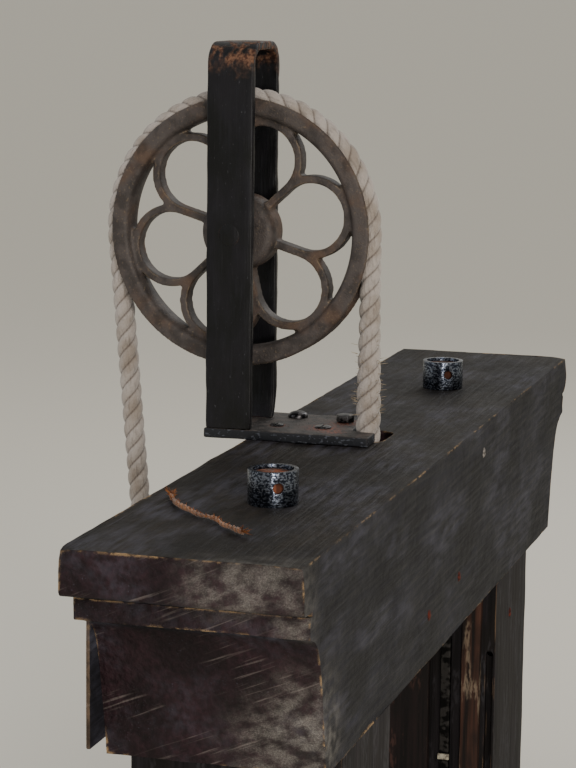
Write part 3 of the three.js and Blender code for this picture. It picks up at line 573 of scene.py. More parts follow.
def outline_prism(points: Iterable[Vector], along: Vector) -> bmesh.types.BMesh:
    """Makes a solid from a flat outline and the way that it is extruded.

    Args:
        points: The outline's corners in order.
        along: The extrusion's direction and length.

    Returns:
        The closed solid.
    """
    bm = bmesh.new()
    face = bm.faces.new([bm.verts.new(p) for p in points])
    grown = bmesh.ops.extrude_face_region(bm, geom=[face])
    moved = [g for g in grown["geom"] if isinstance(g, bmesh.types.BMVert)]
    bmesh.ops.translate(bm, vec=along, verts=moved)
    bmesh.ops.recalc_face_normals(bm, faces=bm.faces)
    return bm


def block(low: Vector, high: Vector) -> bmesh.types.BMesh:
    """Makes a box between two corners."""
    bm = bmesh.new()
    bmesh.ops.create_cube(bm, size=1.0)
    bmesh.ops.scale(bm, vec=high - low, verts=bm.verts)
    bmesh.ops.translate(bm, vec=(low + high) / 2, verts=bm.verts)
    return bm


def rod(
    axis: Axis, radius: float, low: float, high: float, centre: Vector, sides: int = 48
) -> bmesh.types.BMesh:
    """Makes a round bar along one axis.

    Args:
        axis: The axis that it runs along.
        radius: Its radius.
        low: Where it starts on that axis.
        high: Where it ends on that axis.
        centre: A point on its centreline.
        sides: The number of its flats.

    Returns:
        The closed bar.
    """
    bm = bmesh.new()
    bmesh.ops.create_cone(
        bm, cap_ends=True, segments=sides, radius1=radius, radius2=radius, depth=high - low
    )
    turn = {Axis.X: Matrix.Rotation(math.pi / 2, 3, "Y"), Axis.Y: Matrix.Rotation(-math.pi / 2, 3, "X")}
    if axis in turn:
        bmesh.ops.rotate(bm, cent=(0, 0, 0), matrix=turn[axis], verts=bm.verts)
    middle = centre.copy()
    middle[axis.value] = (low + high) / 2
    bmesh.ops.translate(bm, vec=middle, verts=bm.verts)
    return bm


def turned(
    profile: list[tuple[float, float]], axis: Axis, centre: Vector, steps: int = 64
) -> bmesh.types.BMesh:
    """Spins a profile of (radius, place along the axis) right round.

    Args:
        profile: A closed ring, or an open line that starts and ends on the axis.
        axis: The axis of the spin.
        centre: Where the axis's zero lies.
        steps: The number of steps round.

    Returns:
        The closed solid.
    """
    along = Vector((0, 0, 0))
    along[axis.value] = 1
    out = Vector((0, 1, 0)) if axis is not Axis.Y else Vector((1, 0, 0))
    bm = bmesh.new()
    verts = [bm.verts.new(centre + out * r + along * a) for r, a in profile]
    closed = profile[0][0] > 1e-6 or profile[-1][0] > 1e-6
    pairs = list(zip(verts, verts[1:])) + ([(verts[-1], verts[0])] if closed else [])
    edges = [bm.edges.new(pair) for pair in pairs]
    bmesh.ops.spin(
        bm, geom=verts + edges, cent=centre, axis=along, dvec=(0, 0, 0),
        angle=FULL_TURN, steps=steps, use_merge=True, use_normal_flip=False, use_duplicate=False,
    )
    bmesh.ops.remove_doubles(bm, verts=bm.verts, dist=1e-6)
    bmesh.ops.recalc_face_normals(bm, faces=bm.faces)
    return bm


def soften(bm: bmesh.types.BMesh, radius_mm: float, segments: int = 3, sharper_than: float = 30) -> None:
    """Rounds every edge that is sharper than an angle in degrees."""
    limit = math.radians(sharper_than)
    sharp = [e for e in bm.edges if len(e.link_faces) == 2 and e.calc_face_angle(0) > limit]
    bmesh.ops.bevel(
        bm, geom=sharp, offset=radius_mm * MM, segments=segments, profile=0.5, affect="EDGES",
        clamp_overlap=True, material=-1,
    )


def join(target: bmesh.types.BMesh, other: bmesh.types.BMesh) -> bmesh.types.BMesh:
    """Copies another mesh into the target as a loose shell, and frees it."""
    mesh = bpy.data.meshes.new("joined")
    other.to_mesh(mesh)
    other.free()
    target.from_mesh(mesh)
    bpy.data.meshes.remove(mesh)
    return target


def as_object(name: str, bm: bmesh.types.BMesh) -> bpy.types.Object:
    """Makes an object of a mesh and frees the mesh."""
    mesh = bpy.data.meshes.new(name)
    bm.to_mesh(mesh)
    bm.free()
    made = bpy.data.objects.new(name, mesh)
    bpy.context.scene.collection.objects.link(made)
    return made


def settled(made: bpy.types.Object) -> bmesh.types.BMesh:
    """Applies an object's modifiers, removes it, and returns its mesh."""
    bpy.context.view_layer.update()
    shown = made.evaluated_get(bpy.context.evaluated_depsgraph_get())
    bm = bmesh.new()
    bm.from_mesh(shown.to_mesh())
    shown.to_mesh_clear()
    mesh = made.data
    bpy.data.objects.remove(made)
    bpy.data.meshes.remove(mesh)
    return bm


def combined(base: bmesh.types.BMesh, other: bmesh.types.BMesh, operation: str) -> bmesh.types.BMesh:
    """Cuts or joins two solids.

    Args:
        base: The solid that is kept.
        other: The solid that cuts it or is added.
        operation: DIFFERENCE or UNION.

    Returns:
        The result.
    """
    first = as_object("base", base)
    second = as_object("tool", other)
    change = first.modifiers.new("change", "BOOLEAN")
    change.operation = operation
    change.solver = "EXACT"
    change.object = second
    result = settled(first)
    mesh = second.data
    bpy.data.objects.remove(second)
    bpy.data.meshes.remove(mesh)
    bmesh.ops.remove_doubles(result, verts=result.verts, dist=2e-6)
    return result


def sliced(bm: bmesh.types.BMesh, axis: Axis, spacing_mm: float) -> None:
    """Cuts the faces with evenly spaced planes across an axis, so that they can be bent."""
    places = [v.co[axis.value] for v in bm.verts]
    low, high = min(places), max(places)
    count = max(1, round((high - low) / (spacing_mm * MM)))
    across = Vector((0, 0, 0))
    across[axis.value] = 1
    for i in range(1, count):
        point = across * (low + (high - low) * i / count)
        geom = bm.verts[:] + bm.edges[:] + bm.faces[:]
        bmesh.ops.bisect_plane(bm, geom=geom, dist=1e-6, plane_co=point, plane_no=across)


def weathered(bm: bmesh.types.BMesh, depth_mm: float, size_mm: float, seed: float) -> None:
    """Moves vertices in and out along their normals by smooth noise.

    Args:
        bm: The mesh to change.
        depth_mm: The most that a point moves.
        size_mm: The size of the hollows.
        seed: An offset that makes each piece different.
    """
    bm.normal_update()
    moves = []
    for v in bm.verts:
        where = v.co / (size_mm * MM) + Vector((seed, seed * 2, seed * 3))
        moves.append(v.normal * (noise.noise(where) * depth_mm * MM))
    for v, move in zip(bm.verts, moves):
        v.co += move


def dented(
    bm: bmesh.types.BMesh, where_mm: tuple[float, float, float], radius_mm: float,
    push_mm: tuple[float, float, float],
) -> None:
    """Pushes the surface near a place, most at the place itself.

    Args:
        bm: The mesh to change.
        where_mm: The place.
        radius_mm: How far round it the surface moves.
        push_mm: How far and which way the place itself moves.
    """
    centre = Vector(where_mm) * MM
    push = Vector(push_mm) * MM
    for v in bm.verts:
        share = 1 - (v.co - centre).length / (radius_mm * MM)
        if share > 0:
            v.co += push * (share * share * (3 - 2 * share))


def finished(
    name: str, bm: bmesh.types.BMesh, finish: Finish, body: Body, nodes: Iterable[str],
    smooth_below: float = 38,
) -> bpy.types.Object:
    """Makes a mesh a piece of the object.

    Args:
        name: The piece's name.
        bm: Its mesh, in the row frame.
        finish: Its finish.
        body: The body that it rides on.
        nodes: The CAD nodes that it stands for.
        smooth_below: Edges sharper than this angle in degrees stay sharp.

    Returns:
        The piece's object.
    """
    made = as_object(name, bm)
    made.data.shade_smooth()
    made.data.set_sharp_from_angle(angle=math.radians(smooth_below))
    made.data.materials.append(finish.material())
    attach(made, body.value)
    if nodes:
        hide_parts(*nodes)
    LOG.info("%s: %d faces", name, len(made.data.polygons))
    return made


def middle_of(node: str) -> Vector:
    """Returns the middle of a CAD node's box."""
    low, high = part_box(node)
    return (low + high) / 2


def length_of(path: list[Vector]) -> float:
    """Returns the length of the line through some points."""
    return sum((b - a).length for a, b in zip(path, path[1:]))


# ---------------------------------------------------------------- camera and lights


@dataclass
class Studio:
    """A pale floor, soft lights and the camera, all placed round the beam."""

    azimuth: float = -73.34
    elevation: float = 9.44
    roll: float = 0.604
    distance: float = 2.25
    lens: float = 112.5
    aim_across: float = 0.071
    aim_above_beam: float = 0.052
    sensor: float = 36
    sky_strength: float = 0.64
    floor_size: float = 400.0
    floor_gap: float = 0.0005
    floor_colour: str = "#e4e0d5"

    def camera(self) -> None:
        """Makes the camera that looks along the beam from its near end."""
        _, beam_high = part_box("crosshead_beam")
        middle = (middle_of("post_near") + middle_of("post_far")) / 2
        aim = Vector((middle.x, self.aim_across, beam_high.z + self.aim_above_beam))
        a, e = math.radians(self.azimuth), math.radians(self.elevation)
        back = Vector((math.sin(a) * math.cos(e), -math.cos(a) * math.cos(e), math.sin(e)))
        data = bpy.data.cameras.new("camera")
        data.lens = self.lens
        data.sensor_width = self.sensor
        made = bpy.data.objects.new("camera", data)
        bpy.context.scene.collection.objects.link(made)
        made.location = aim + back * self.distance
        level = (-back).to_track_quat("-Z", "Y").to_matrix()
        made.rotation_euler = (level @ Matrix.Rotation(math.radians(self.roll), 3, "Z")).to_euler()
        bpy.context.scene.camera = made

    def lamp(self, name: str, where: Vector, aim: Vector, size: float, power: float, colour: str) -> None:
        """Makes one soft square light.

        Args:
            name: The light's name.
            where: Its place.
            aim: The point that it faces.
            size: Its width in metres.
            power: Its power in watts.
            colour: Its colour as sRGB hex.
        """
        data = bpy.data.lights.new(name, "AREA")
        data.size = size
        data.energy = power
        data.color = linear(colour)[:3]
        made = bpy.data.objects.new(name, data)
        bpy.context.scene.collection.objects.link(made)
        made.location = where
        made.rotation_euler = (aim - where).to_track_quat("-Z", "Y").to_euler()

    def lights(self) -> None:
        """Makes a key light, a small light beside the lens, fill lights and an even sky."""
        aim = middle_of("pulley_wheel")
        self.lamp("key", Vector((-1.9, -1.5, 1.7)), aim, 0.7, 34, "#fff6ea")
        beside_lens = bpy.context.scene.camera.location + Vector((0.06, -0.22, -0.25))
        self.lamp("front", beside_lens, aim, 0.26, 13, "#fffaf4")
        self.lamp("fill", Vector((-0.8, 2.4, 1.9)), aim, 1.6, 16, "#eef3ff")
        self.lamp("rear", Vector((2.6, -0.6, 2.2)), aim, 1.4, 18, "#ffffff")
        world = bpy.data.worlds.new("sky")
        world.use_nodes = True
        world.node_tree.nodes["Background"].inputs[0].default_value = linear("#f2efe8")
        world.node_tree.nodes["Background"].inputs[1].default_value = self.sky_strength
        bpy.context.scene.world = world

    def floor(self) -> None:
        """Makes the floor that the posts stand on."""
        bm = bmesh.new()
        bmesh.ops.create_grid(bm, x_segments=1, y_segments=1, size=self.floor_size / 2)
        made = as_object("floor", bm)
        made.location.z = -self.floor_gap
        material = bpy.data.materials.new("matt_floor")
        material.use_nodes = True
        shader = material.node_tree.nodes["Principled BSDF"]
        shader.inputs["Base Color"].default_value = linear(self.floor_colour)
        shader.inputs["Roughness"].default_value = 1.0
        made.data.materials.append(material)


# ---------------------------------------------------------------- rope and twine


@dataclass
class Lay:
    """How a cord's strands are twisted together."""

    diameter: float
    strands: int = 3
    length_of_lay: float = 0.047
    depth: float = 0.24
    flatness: float = 2.6
    sides: int = 42
    step: float = 0.0018

    def radius(self, angle: float) -> float:
        """Returns the surface's distance from the centreline at an angle from the middle of a strand."""
        half = math.pi / self.strands
        away = abs((angle + half) % (2 * half) - half) / half
        return self.diameter / 2 * (1 - self.depth * away**self.flatness)

    def swept(
        self, path: list[Vector], swell: Callable[[float], float] = lambda _: 1.0
    ) -> bmesh.types.BMesh:
        """Rolls a grid into a tube of twisted strands along a path.

        Args:
            path: Closely spaced points of the centreline.
            swell: The cord's thickness as a share of its diameter, by the share of its length.

        Returns:
            A closed tube with a "lay" UV map and a "groove" depth for each vertex.
        """
        bm = bmesh.new()
        lay = bm.loops.layers.uv.new("lay")
        groove = bm.verts.layers.float.new("groove")
        steps = len(path) - 1
        bmesh.ops.create_grid(bm, x_segments=self.sides, y_segments=steps, size=0.5)
        travelled = [0.0]
        for a, b in zip(path, path[1:]):
            travelled.append(travelled[-1] + (b - a).length)
        sides = []
        side = (path[1] - path[0]).orthogonal().normalized()
        for i, point in enumerate(path):
            way = (path[min(i + 1, steps)] - path[max(i - 1, 0)]).normalized()
            side = (side - way * side.dot(way)).normalized()
            sides.append((point, side, way.cross(side)))
        places = {v: (round((v.co.x + 0.5) * self.sides), round((v.co.y + 0.5) * steps)) for v in bm.verts}
        for face in bm.faces:
            for loop in face.loops:
                j, i = places[loop.vert]
                loop[lay].uv = (j / self.sides, travelled[i] / self.diameter)
        for v, (j, i) in places.items():
            angle = FULL_TURN * (j % self.sides) / self.sides
            reach = self.radius(angle - FULL_TURN * travelled[i] / self.length_of_lay)
            centre, across, other = sides[i]
            spread = reach * swell(travelled[i] / travelled[-1])
            v.co = centre + (across * math.cos(angle) + other * math.sin(angle)) * spread
            v[groove] = (1 - reach / (self.diameter / 2)) / self.depth
        bmesh.ops.remove_doubles(bm, verts=bm.verts, dist=1e-7)
        bmesh.ops.holes_fill(bm, edges=[e for e in bm.edges if e.is_boundary], sides=0)
        bmesh.ops.recalc_face_normals(bm, faces=bm.faces)
        return bm


def evenly(points: list[Vector], step: float) -> list[Vector]:
    """Returns a smooth line through the points, with evenly spaced places on it.

    Args:
        points: The route's points.
        step: The wanted spacing.

    Returns:
        The places, from the first point to the last.
    """
    fine = []
    padded = [2 * points[0] - points[1], *points, 2 * points[-1] - points[-2]]
    for a, b, c, d in zip(padded, padded[1:], padded[2:], padded[3:]):
        count = max(2, math.ceil((c - b).length / step * 2))
        for i in range(count):
            t = i / count
            point = 2 * b + (c - a) * t + (2 * a - 5 * b + 4 * c - d) * t**2
            fine.append(0.5 * (point + (3 * b - a - 3 * c + d) * t**3))
    fine.append(points[-1])
    total = length_of(fine)
    count = max(2, round(total / step))
    wanted = [total * i / count for i in range(count + 1)]
    found, travelled, index = [], 0.0, 0
    for place_along in wanted:
        while index < len(fine) - 2 and travelled + (fine[index + 1] - fine[index]).length < place_along:
            travelled += (fine[index + 1] - fine[index]).length
            index += 1
        piece = fine[index + 1] - fine[index]
        share = (place_along - travelled) / piece.length if piece.length else 0.0
        found.append(fine[index] + piece * min(max(share, 0.0), 1.0))
    return found


def loose_fibres(
    draw: random.Random, roots: list[tuple[Vector, Vector, float]], length: float, diameter: float,
    radius: float,
) -> bmesh.types.BMesh:
    """Makes fine tapered fibres that stand out of a cord.

    Args:
        draw: The source of their lengths and leans.
        roots: Each fibre's place on the centreline, the way it mostly goes, and its share of the length.
        length: The longest fibre.
        diameter: The cord's diameter.
        radius: A fibre's radius at its root.

    Returns:
        The fibres; none goes lower than the cord lies.
    """
    bm = bmesh.new()
    floor = min(point.z for point, _, _ in roots) - diameter / 2
    for point, way, share in roots:
        spread = Vector((draw.uniform(-1, 1), draw.uniform(-1, 1), draw.uniform(-0.1, 0.9)))
        lean = (way * 1.1 + spread * 0.8).normalized()
        reach = length * share * draw.uniform(0.5, 1.0)
        middle = point + spread * diameter * 0.15 + lean * reach / 2
        if middle.z - abs(lean.z) * reach / 2 < floor:
            continue
        turn = lean.to_track_quat("Z", "Y").to_matrix().to_4x4()
        bmesh.ops.create_cone(
            bm, cap_ends=True, segments=5, radius1=radius, radius2=radius * 0.4, depth=reach,
            matrix=Matrix.Translation(middle) @ turn,
        )
    return bm


@dataclass
class Rope:
    """The laid cotton rope: knotted under the beam, up over the wheel and down behind the beam."""

    diameter: float = 0.020
    path_radius: float = 0.1251
    lean: float = math.atan(0.085)
    free_length: float = 0.455
    knot_turns: float = 2.5
    knot_clearance: float = 0.0008
    knot_end: float = 0.006
    fuzzy_share: float = 0.205
    fuzzy_spread: float = 0.028
    fibres: int = 170
    fibre_length: float = 0.0075
    fibre_radius: float = 0.00025
    seed: int = 3
    lay: Lay = field(default_factory=lambda: Lay(0.020))

    def swell(self, share: float) -> float:
        """Returns the thickness along the rope, which has opened where it goes through the beam."""
        return 1 + 0.17 * math.exp(-(((share - self.fuzzy_share) / 0.05) ** 2))

    def fuzz(self, path: list[Vector]) -> bmesh.types.BMesh:
        """Makes the loose fibres that stand out of the rope just above the beam."""
        draw = random.Random(self.seed)
        roots = []
        for _ in range(self.fibres):
            share = self.fuzzy_share + abs(draw.gauss(0, self.fuzzy_spread))
            point = path[int(share * len(path))]
            angle = draw.uniform(0, FULL_TURN)
            out = Vector((math.cos(angle), math.sin(angle), draw.uniform(-0.5, 0.6)))
            roots.append((point + out * self.diameter * 0.45, out, 1.0))
        return loose_fibres(draw, roots, self.fibre_length, self.diameter, self.fibre_radius)

    def knot_height(self) -> float:
        """Returns how tall a knot's winding is."""
        return self.knot_turns * (self.diameter + self.knot_clearance) + self.diameter

    def route(self) -> list[Vector]:
        """Returns the rope's points from its knot under the beam to its free end."""
        hub = middle_of("hub_bush")
        beam_low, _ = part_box("crosshead_beam")
        foot = beam_low.z - self.knot_height() + self.knot_end
        rising = 9
        heights = [foot + (hub.z - foot) * i / rising for i in range(rising)]
        points = [Vector((hub.x, hub.y - self.path_radius, z)) for z in heights]
        steps = 48
        for i in range(steps + 1):
            angle = math.pi - (math.pi + self.lean) * i / steps
            points.append(hub + Vector((0, math.cos(angle), math.sin(angle))) * self.path_radius)
        fall = Vector((0, -math.sin(self.lean), -math.cos(self.lean)))
        falling = 9
        last = points[-1].copy()
        points += [last + fall * (self.free_length * i / falling) for i in range(1, falling + 1)]
        return points

    def winding(self, foot: Vector, up: Vector) -> list[Vector]:
        """Returns the points of a knot wound round the rope.

        Args:
            foot: The knot's lower end, on the rope's centreline.
            up: The way that the rope goes up from there.

        Returns:
            The winding's centreline.
        """
        side = Vector((1, 0, 0))
        other = up.cross(side).normalized()
        reach = self.diameter + self.knot_clearance
        steps = 40
        points = []
        for i in range(steps + 1):
            angle = FULL_TURN * self.knot_turns * i / steps
            climb = self.diameter / 2 + reach * self.knot_turns * i / steps
            points.append(foot + (side * math.cos(angle) + other * math.sin(angle)) * reach + up * climb)
        return points

    def build(self) -> None:
        """Makes the rope and its two knots."""
        route = self.route()
        path = evenly(route, self.lay.step)
        tight = Lay(self.diameter, step=0.0016)
        up = Vector((0, math.sin(self.lean), math.cos(self.lean)))
        feet = {
            "rope_knot_fixed": (route[0] - Vector((0, 0, self.knot_end + 0.002)), Vector((0, 0, 1))),
            "rope_knot_free": (route[-1] + up * self.knot_end, up),
        }
        for node, (foot, way) in feet.items():
            points = evenly(self.winding(foot, way), tight.step)
            bm = tight.swept(points)
            finished("wound_" + node, bm, ROPE_COTTON, Body.FRAME, [node], 180)
        finished("rope_fuzz", self.fuzz(path), ROPE_FUZZ, Body.FRAME, [])
        rope = finished(
            "laid_rope", self.lay.swept(path, self.swell), ROPE_COTTON, Body.FRAME,
            ["pulley_rope"], 180,
        )


@dataclass
class Twine:
    """The frayed remnant of orange twine that lies on the beam's top."""

    diameter: float = 0.006
    rest: float = 0.0033
    fray_length: float = 0.0095
    fray_radius: float = 0.0004
    frays_at_start: int = 30
    frays_at_end: int = 18
    frays_along: int = 110
    seed: int = 7
    route_mm: tuple[tuple[float, float, float], ...] = (
        (6, 84, 0), (-10, 76, 0), (-28, 66, 1), (-44, 50, 0.5), (-56, 38, 0), (-66, 22, 0.4),
        (-82, 10, 0), (-94, -2, 0.6), (-104, -14, 0),
    )

    def swell(self, share: float) -> float:
        """Returns the thickness: plump near its far end, thin in the middle, and opened at both ends."""
        plump = math.exp(-(((share - 0.3) / 0.12) ** 2)) * 0.2
        plump += math.exp(-(((share - 0.93) / 0.07) ** 2)) * 0.15
        return 0.62 + plump + 0.07 * math.sin(share * 41)

    def frays(self, path: list[Vector]) -> bmesh.types.BMesh:
        """Makes the loose fibres that stand out at both ends and along the twine."""
        draw = random.Random(self.seed)
        ends = (
            (path[0], path[0] - path[6], self.frays_at_start),
            (path[-1], path[-1] - path[-7], self.frays_at_end),
        )
        roots = [(point, way.normalized(), 1.0) for point, way, count in ends for _ in range(count)]
        roots += [(draw.choice(path), Vector((0, 0, 0.2)), 0.4) for _ in range(self.frays_along)]
        return loose_fibres(draw, roots, self.fray_length, self.diameter, self.fray_radius)

    def build(self) -> None:
        """Makes the twine and its loose fibres."""
        _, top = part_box("crosshead_beam")
        points = [Vector((x * MM, y * MM, top.z + self.rest + z * MM)) for x, y, z in self.route_mm]
        lay = Lay(
            self.diameter, strands=2, length_of_lay=0.012, depth=0.42, flatness=2, sides=24, step=0.0007
        )
        path = evenly(points, lay.step)
        twine = finished(
            "frayed_twine", lay.swept(path, self.swell), TWINE_FIBRE, Body.FRAME,
            ["old_twine"], 180,
        )
        frays = finished("twine_loose_fibres", self.frays(path), LOOSE_FIBRE, Body.FRAME, [])


# ---------------------------------------------------------------- timber


@dataclass(frozen=True)
class MouldedEnd:
    """The sizes of one moulded end of the beam, in millimetres."""

    edge_radius: float
    quirk_depth: float
    cove_depth: float


@dataclass
class Crossbeam:
    """The moulded beam with its cornice, its fascia board, and its pegs."""

    near_end: MouldedEnd = MouldedEnd(6, 23, 67)
    far_end: MouldedEnd = MouldedEnd(17, 19, 91)
    band_height: float = 38
    quirk_height: float = 4
    fillet_depth: float = 18
    fillet_height: float = 17
    slot_radius: float = 16
    slot_length: float = 66
    slot_clearance: float = 18

    def end_profile(self, end: MouldedEnd, height: float) -> list[tuple[float, float]]:
        """Returns a moulding as (distance in, depth below the top) in millimetres, from the top down."""
        points = [(0.0, 0.0)]
        for i in range(9):
            angle = i / 8 * math.pi / 2
            points.append((
                end.edge_radius * (1 - math.cos(angle)),
                self.band_height - end.edge_radius * (1 - math.sin(angle)),
            ))
        top = self.band_height + self.quirk_height
        bottom = top + self.fillet_height
        points += [(end.quirk_depth, self.band_height), (end.quirk_depth, top)]
        points += [(self.fillet_depth, top), (self.fillet_depth, bottom)]
        start = Vector((end.quirk_depth, bottom + 2))
        first = Vector((end.cove_depth * 0.72, bottom + 8))
        second = Vector((end.cove_depth * 0.76, bottom + 38))
        last = Vector((end.cove_depth, height))
        for i in range(25):
            t = i / 24
            u = 1 - t
            p = start * u**3 + first * (3 * u * u * t) + second * (3 * u * t * t) + last * t**3
            points.append((p.x, p.y))
        return points

    def outline(self, low: Vector, high: Vector, deepest: float) -> list[Vector]:
        """Returns the beam's long outline down to a depth in millimetres, at the low corner's Y."""
        height = (high.z - low.z) / MM
        near = [p for p in self.end_profile(self.near_end, height) if p[1] <= deepest + 0.01]
        far = [p for p in self.end_profile(self.far_end, height) if p[1] <= deepest + 0.01]
        down = [Vector((low.x + d * MM, low.y, high.z - z * MM)) for d, z in near]
        up = [Vector((high.x - d * MM, low.y, high.z - z * MM)) for d, z in reversed(far)]
        return down + up

    def rope_slot(self, low: Vector, high: Vector) -> bmesh.types.BMesh:
        """Returns the solid that cuts the rope's slot through the beam."""
        rope_low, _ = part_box("pulley_rope")
        centre_y = rope_low.y + ROPE_RADIUS
        radius = self.slot_radius * MM
        start = middle_of("pulley_rope").x - self.slot_clearance * MM + radius
        end = start + self.slot_length * MM - 2 * radius
        bottom = low.z - 0.01
        steps = 16
        points = []
        for middle, first in ((start, math.pi / 2), (end, -math.pi / 2)):
            for i in range(steps + 1):
                angle = first + math.pi * i / steps
                x, y = middle + radius * math.cos(angle), centre_y + radius * math.sin(angle)
                points.append(Vector((x, y, bottom)))
        return outline_prism(points, Vector((0, 0, high.z - low.z + 0.02)))

    def build(self) -> None:
        """Makes the beam with its cornice, the fascia board and the pegs."""
        low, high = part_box("crosshead_beam")
        cornice_low, cornice_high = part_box("rear_cornice_moulding")
        height = (high.z - low.z) / MM
        beam = outline_prism(self.outline(low, high, height), Vector((0, high.y - low.y + 0.0002, 0)))
        overlap = 0.004
        band = self.outline(low, high, self.band_height)
        for point in band:
            point.y = high.y - overlap
        beam = combined(
            beam, outline_prism(band, Vector((0, cornice_high.y - high.y + overlap, 0))), "UNION"
        )
        fillet_low = Vector((low.x + self.fillet_depth * MM, high.y - overlap, cornice_low.z))
        fillet_top = high.z - (self.band_height + self.quirk_height) * MM
        fillet_high = Vector((high.x - self.fillet_depth * MM, cornice_high.y - 0.0055, fillet_top))
        beam = combined(beam, block(fillet_low, fillet_high), "UNION")
        beam = combined(beam, self.rope_slot(low, high), "DIFFERENCE")
        soften(beam, 2.2, 3)
        sliced(beam, Axis.X, 9)
        sliced(beam, Axis.Y, 9)
        sliced(beam, Axis.Z, 9)
        knocked_corners = (
            (low.x, cornice_high.y, 14, (1, -1.5, -1.5)),
            (low.x, low.y, 14, (2, 2, -1.5)),
            (high.x, low.y, 16, (-1.5, 1.5, -1.5)),
        )
        for x, y, radius, push in knocked_corners:
            dented(beam, (x / MM, y / MM, high.z / MM), radius, push)
        weathered(beam, 0.9, 70, 3.0)
        weathered(beam, 0.45, 20, 8.0)
        finished(
            "painted_crossbeam", beam, BEAM_PAINT, Body.FRAME,
            ["crosshead_beam", "rear_cornice_moulding"],
        )
        low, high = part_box("rear_fascia_board")
        board = block(low, high)
        soften(board, 1.0, 2)
        sliced(board, Axis.X, 30)
        sliced(board, Axis.Z, 30)
        weathered(board, 0.5, 50, 5.0)
        finished("fascia_board", board, FASCIA_PAINT, Body.FRAME, ["rear_fascia_board"])
        for node in ("beam_peg_low_near", "beam_peg_low_middle", "post_peg_far"):
            self.peg(node, PEG_RUST)
        self.peg("beam_peg_high_far", NICK)

    def peg(self, node: str, finish: Finish) -> None:
        """Makes one domed peg head with its shank."""
        low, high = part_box(node)
        centre = (low + high) / 2
        radius = (high.x - low.x) / 2
        profile = [(0.0, low.y), (radius * 0.6, low.y + 0.0002), (radius, low.y + 0.0012), (radius, high.y)]
        bm = turned(profile + [(0.0, high.y)], Axis.Y, Vector((centre.x, 0, centre.z)), 32)
        weathered(bm, 0.6, 4, centre.x)
        finished(node + "_head", bm, finish, Body.FRAME, [node])


@dataclass
class Post:
    """One post stub with the guides on its inner face."""

    end: str
    slot_width: float = 8
    slot_inset: float = 2
    slot_depth: float = 9
    slot_below_top: float = 75

    def build(self) -> None:
        """Makes the post, its batten, runner, clip and guide board, and its dowel and sleeve."""
        side = 1 if self.end == "near" else -1
        low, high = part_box("post_" + self.end)
        post = block(low, high)
        face = high.x if side > 0 else low.x
        groove_low = Vector((0, low.y + self.slot_inset * MM, low.z - 0.01))
        groove_top = high.z - self.slot_below_top * MM
        groove_high = Vector((0, low.y + (self.slot_inset + self.slot_width) * MM, groove_top))
        edges = sorted((face + side * 0.01, face - side * self.slot_depth * MM))
        groove_low.x, groove_high.x = edges
        post = combined(post, block(groove_low, groove_high), "DIFFERENCE")
        arch_centre = Vector((0, (groove_low.y + groove_high.y) / 2, groove_high.z))
        arch = rod(Axis.X, self.slot_width * MM / 2, edges[0], edges[1], arch_centre)
        post = combined(post, arch, "DIFFERENCE")
        soften(post, 1.6, 3)
        sliced(post, Axis.Z, 20)
        sliced(post, Axis.Y, 22)
        sliced(post, Axis.X, 22)
        weathered(post, 0.9, 45, 11.0 + side)
        finished("stained_post_" + self.end, post, POST_STAIN, Body.FRAME, ["post_" + self.end])
        self.strip("guide_batten_", BATTEN_WOOD, 1.4, 0.7)
        self.strip("guide_board_", GUIDE_STAIN, 1.2, 0.5)
        self.strip("runner_strip_", RUNNER_STEEL, 1.0, 0.15)
        self.strip("runner_cap_", CAP_PAINT, 0.7, 0.1)
        self.dowel()
        self.sleeve()

    def strip(self, stem: str, finish: Finish, radius_mm: float, depth_mm: float) -> None:
        """Makes one upright strip on the post's inner face.

        Args:
            stem: The CAD node's name before the post's own.
            finish: Its finish.
            radius_mm: How far its edges are rounded.
            depth_mm: How uneven its surface is.
        """
        low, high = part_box(stem + self.end)
        bm = block(low, high)
        soften(bm, radius_mm, 3)
        sliced(bm, Axis.Z, 16)
        weathered(bm, depth_mm, 30, low.y * 90)
        finished(stem + self.end + "_surface", bm, finish, Body.FRAME, [stem + self.end])

    def dowel(self) -> None:
        """Makes the wooden dowel, whose end shows inside the sleeve."""
        low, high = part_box("tenon_dowel_" + self.end)
        centre = (low + high) / 2
        radius = (high.x - low.x) / 2
        profile = [(0.0, low.z), (radius, low.z), (radius, high.z - 0.002)]
        profile += [(radius * 0.9, high.z), (0.0, high.z)]
        bm = turned(profile, Axis.Z, Vector((centre.x, centre.y, 0)), 40)
        finished("dowel_" + self.end, bm, DOWEL_WOOD, Body.FRAME, ["tenon_dowel_" + self.end])

    def sleeve(self, wall: float = 0.004, hole_radius: float = 0.0045, hole_turn: float = 29) -> None:
        """Makes the steel tube with its cross hole.

        Args:
            wall: The tube's wall.
            hole_radius: The cross hole's radius.
            hole_turn: The cross hole's direction, in degrees from the beam's length.
        """
        node = "tenon_sleeve_" + self.end
        low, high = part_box(node)
        centre = (low + high) / 2
        radius = (high.x - low.x) / 2
        inner = radius - wall
        profile = [(inner, low.z), (radius, low.z), (radius, high.z), (inner, high.z)]
        bm = turned(profile, Axis.Z, Vector((centre.x, centre.y, 0)), 72)
        reach = radius + 0.01
        hole = rod(Axis.X, hole_radius, -reach, reach, Vector((0, 0, 0)), 32)
        turn = Matrix.Rotation(math.radians(hole_turn), 3, "Z")
        bmesh.ops.rotate(hole, cent=(0, 0, 0), matrix=turn, verts=hole.verts)
        lift = low.z + (high.z - low.z) * 0.55
        bmesh.ops.translate(hole, vec=Vector((centre.x, centre.y, lift)), verts=hole.verts)
        bm = combined(bm, hole, "DIFFERENCE")
        soften(bm, 0.6, 3, 50)
        finished("sleeve_" + self.end, bm, SLEEVE_STEEL, Body.FRAME, [node])


# ---------------------------------------------------------------- yoke


class Head(Enum):
    """The kinds of fastener head on the base plate."""

    FLAT = "flat"
    DOME = "dome"
    HEX = "hex"


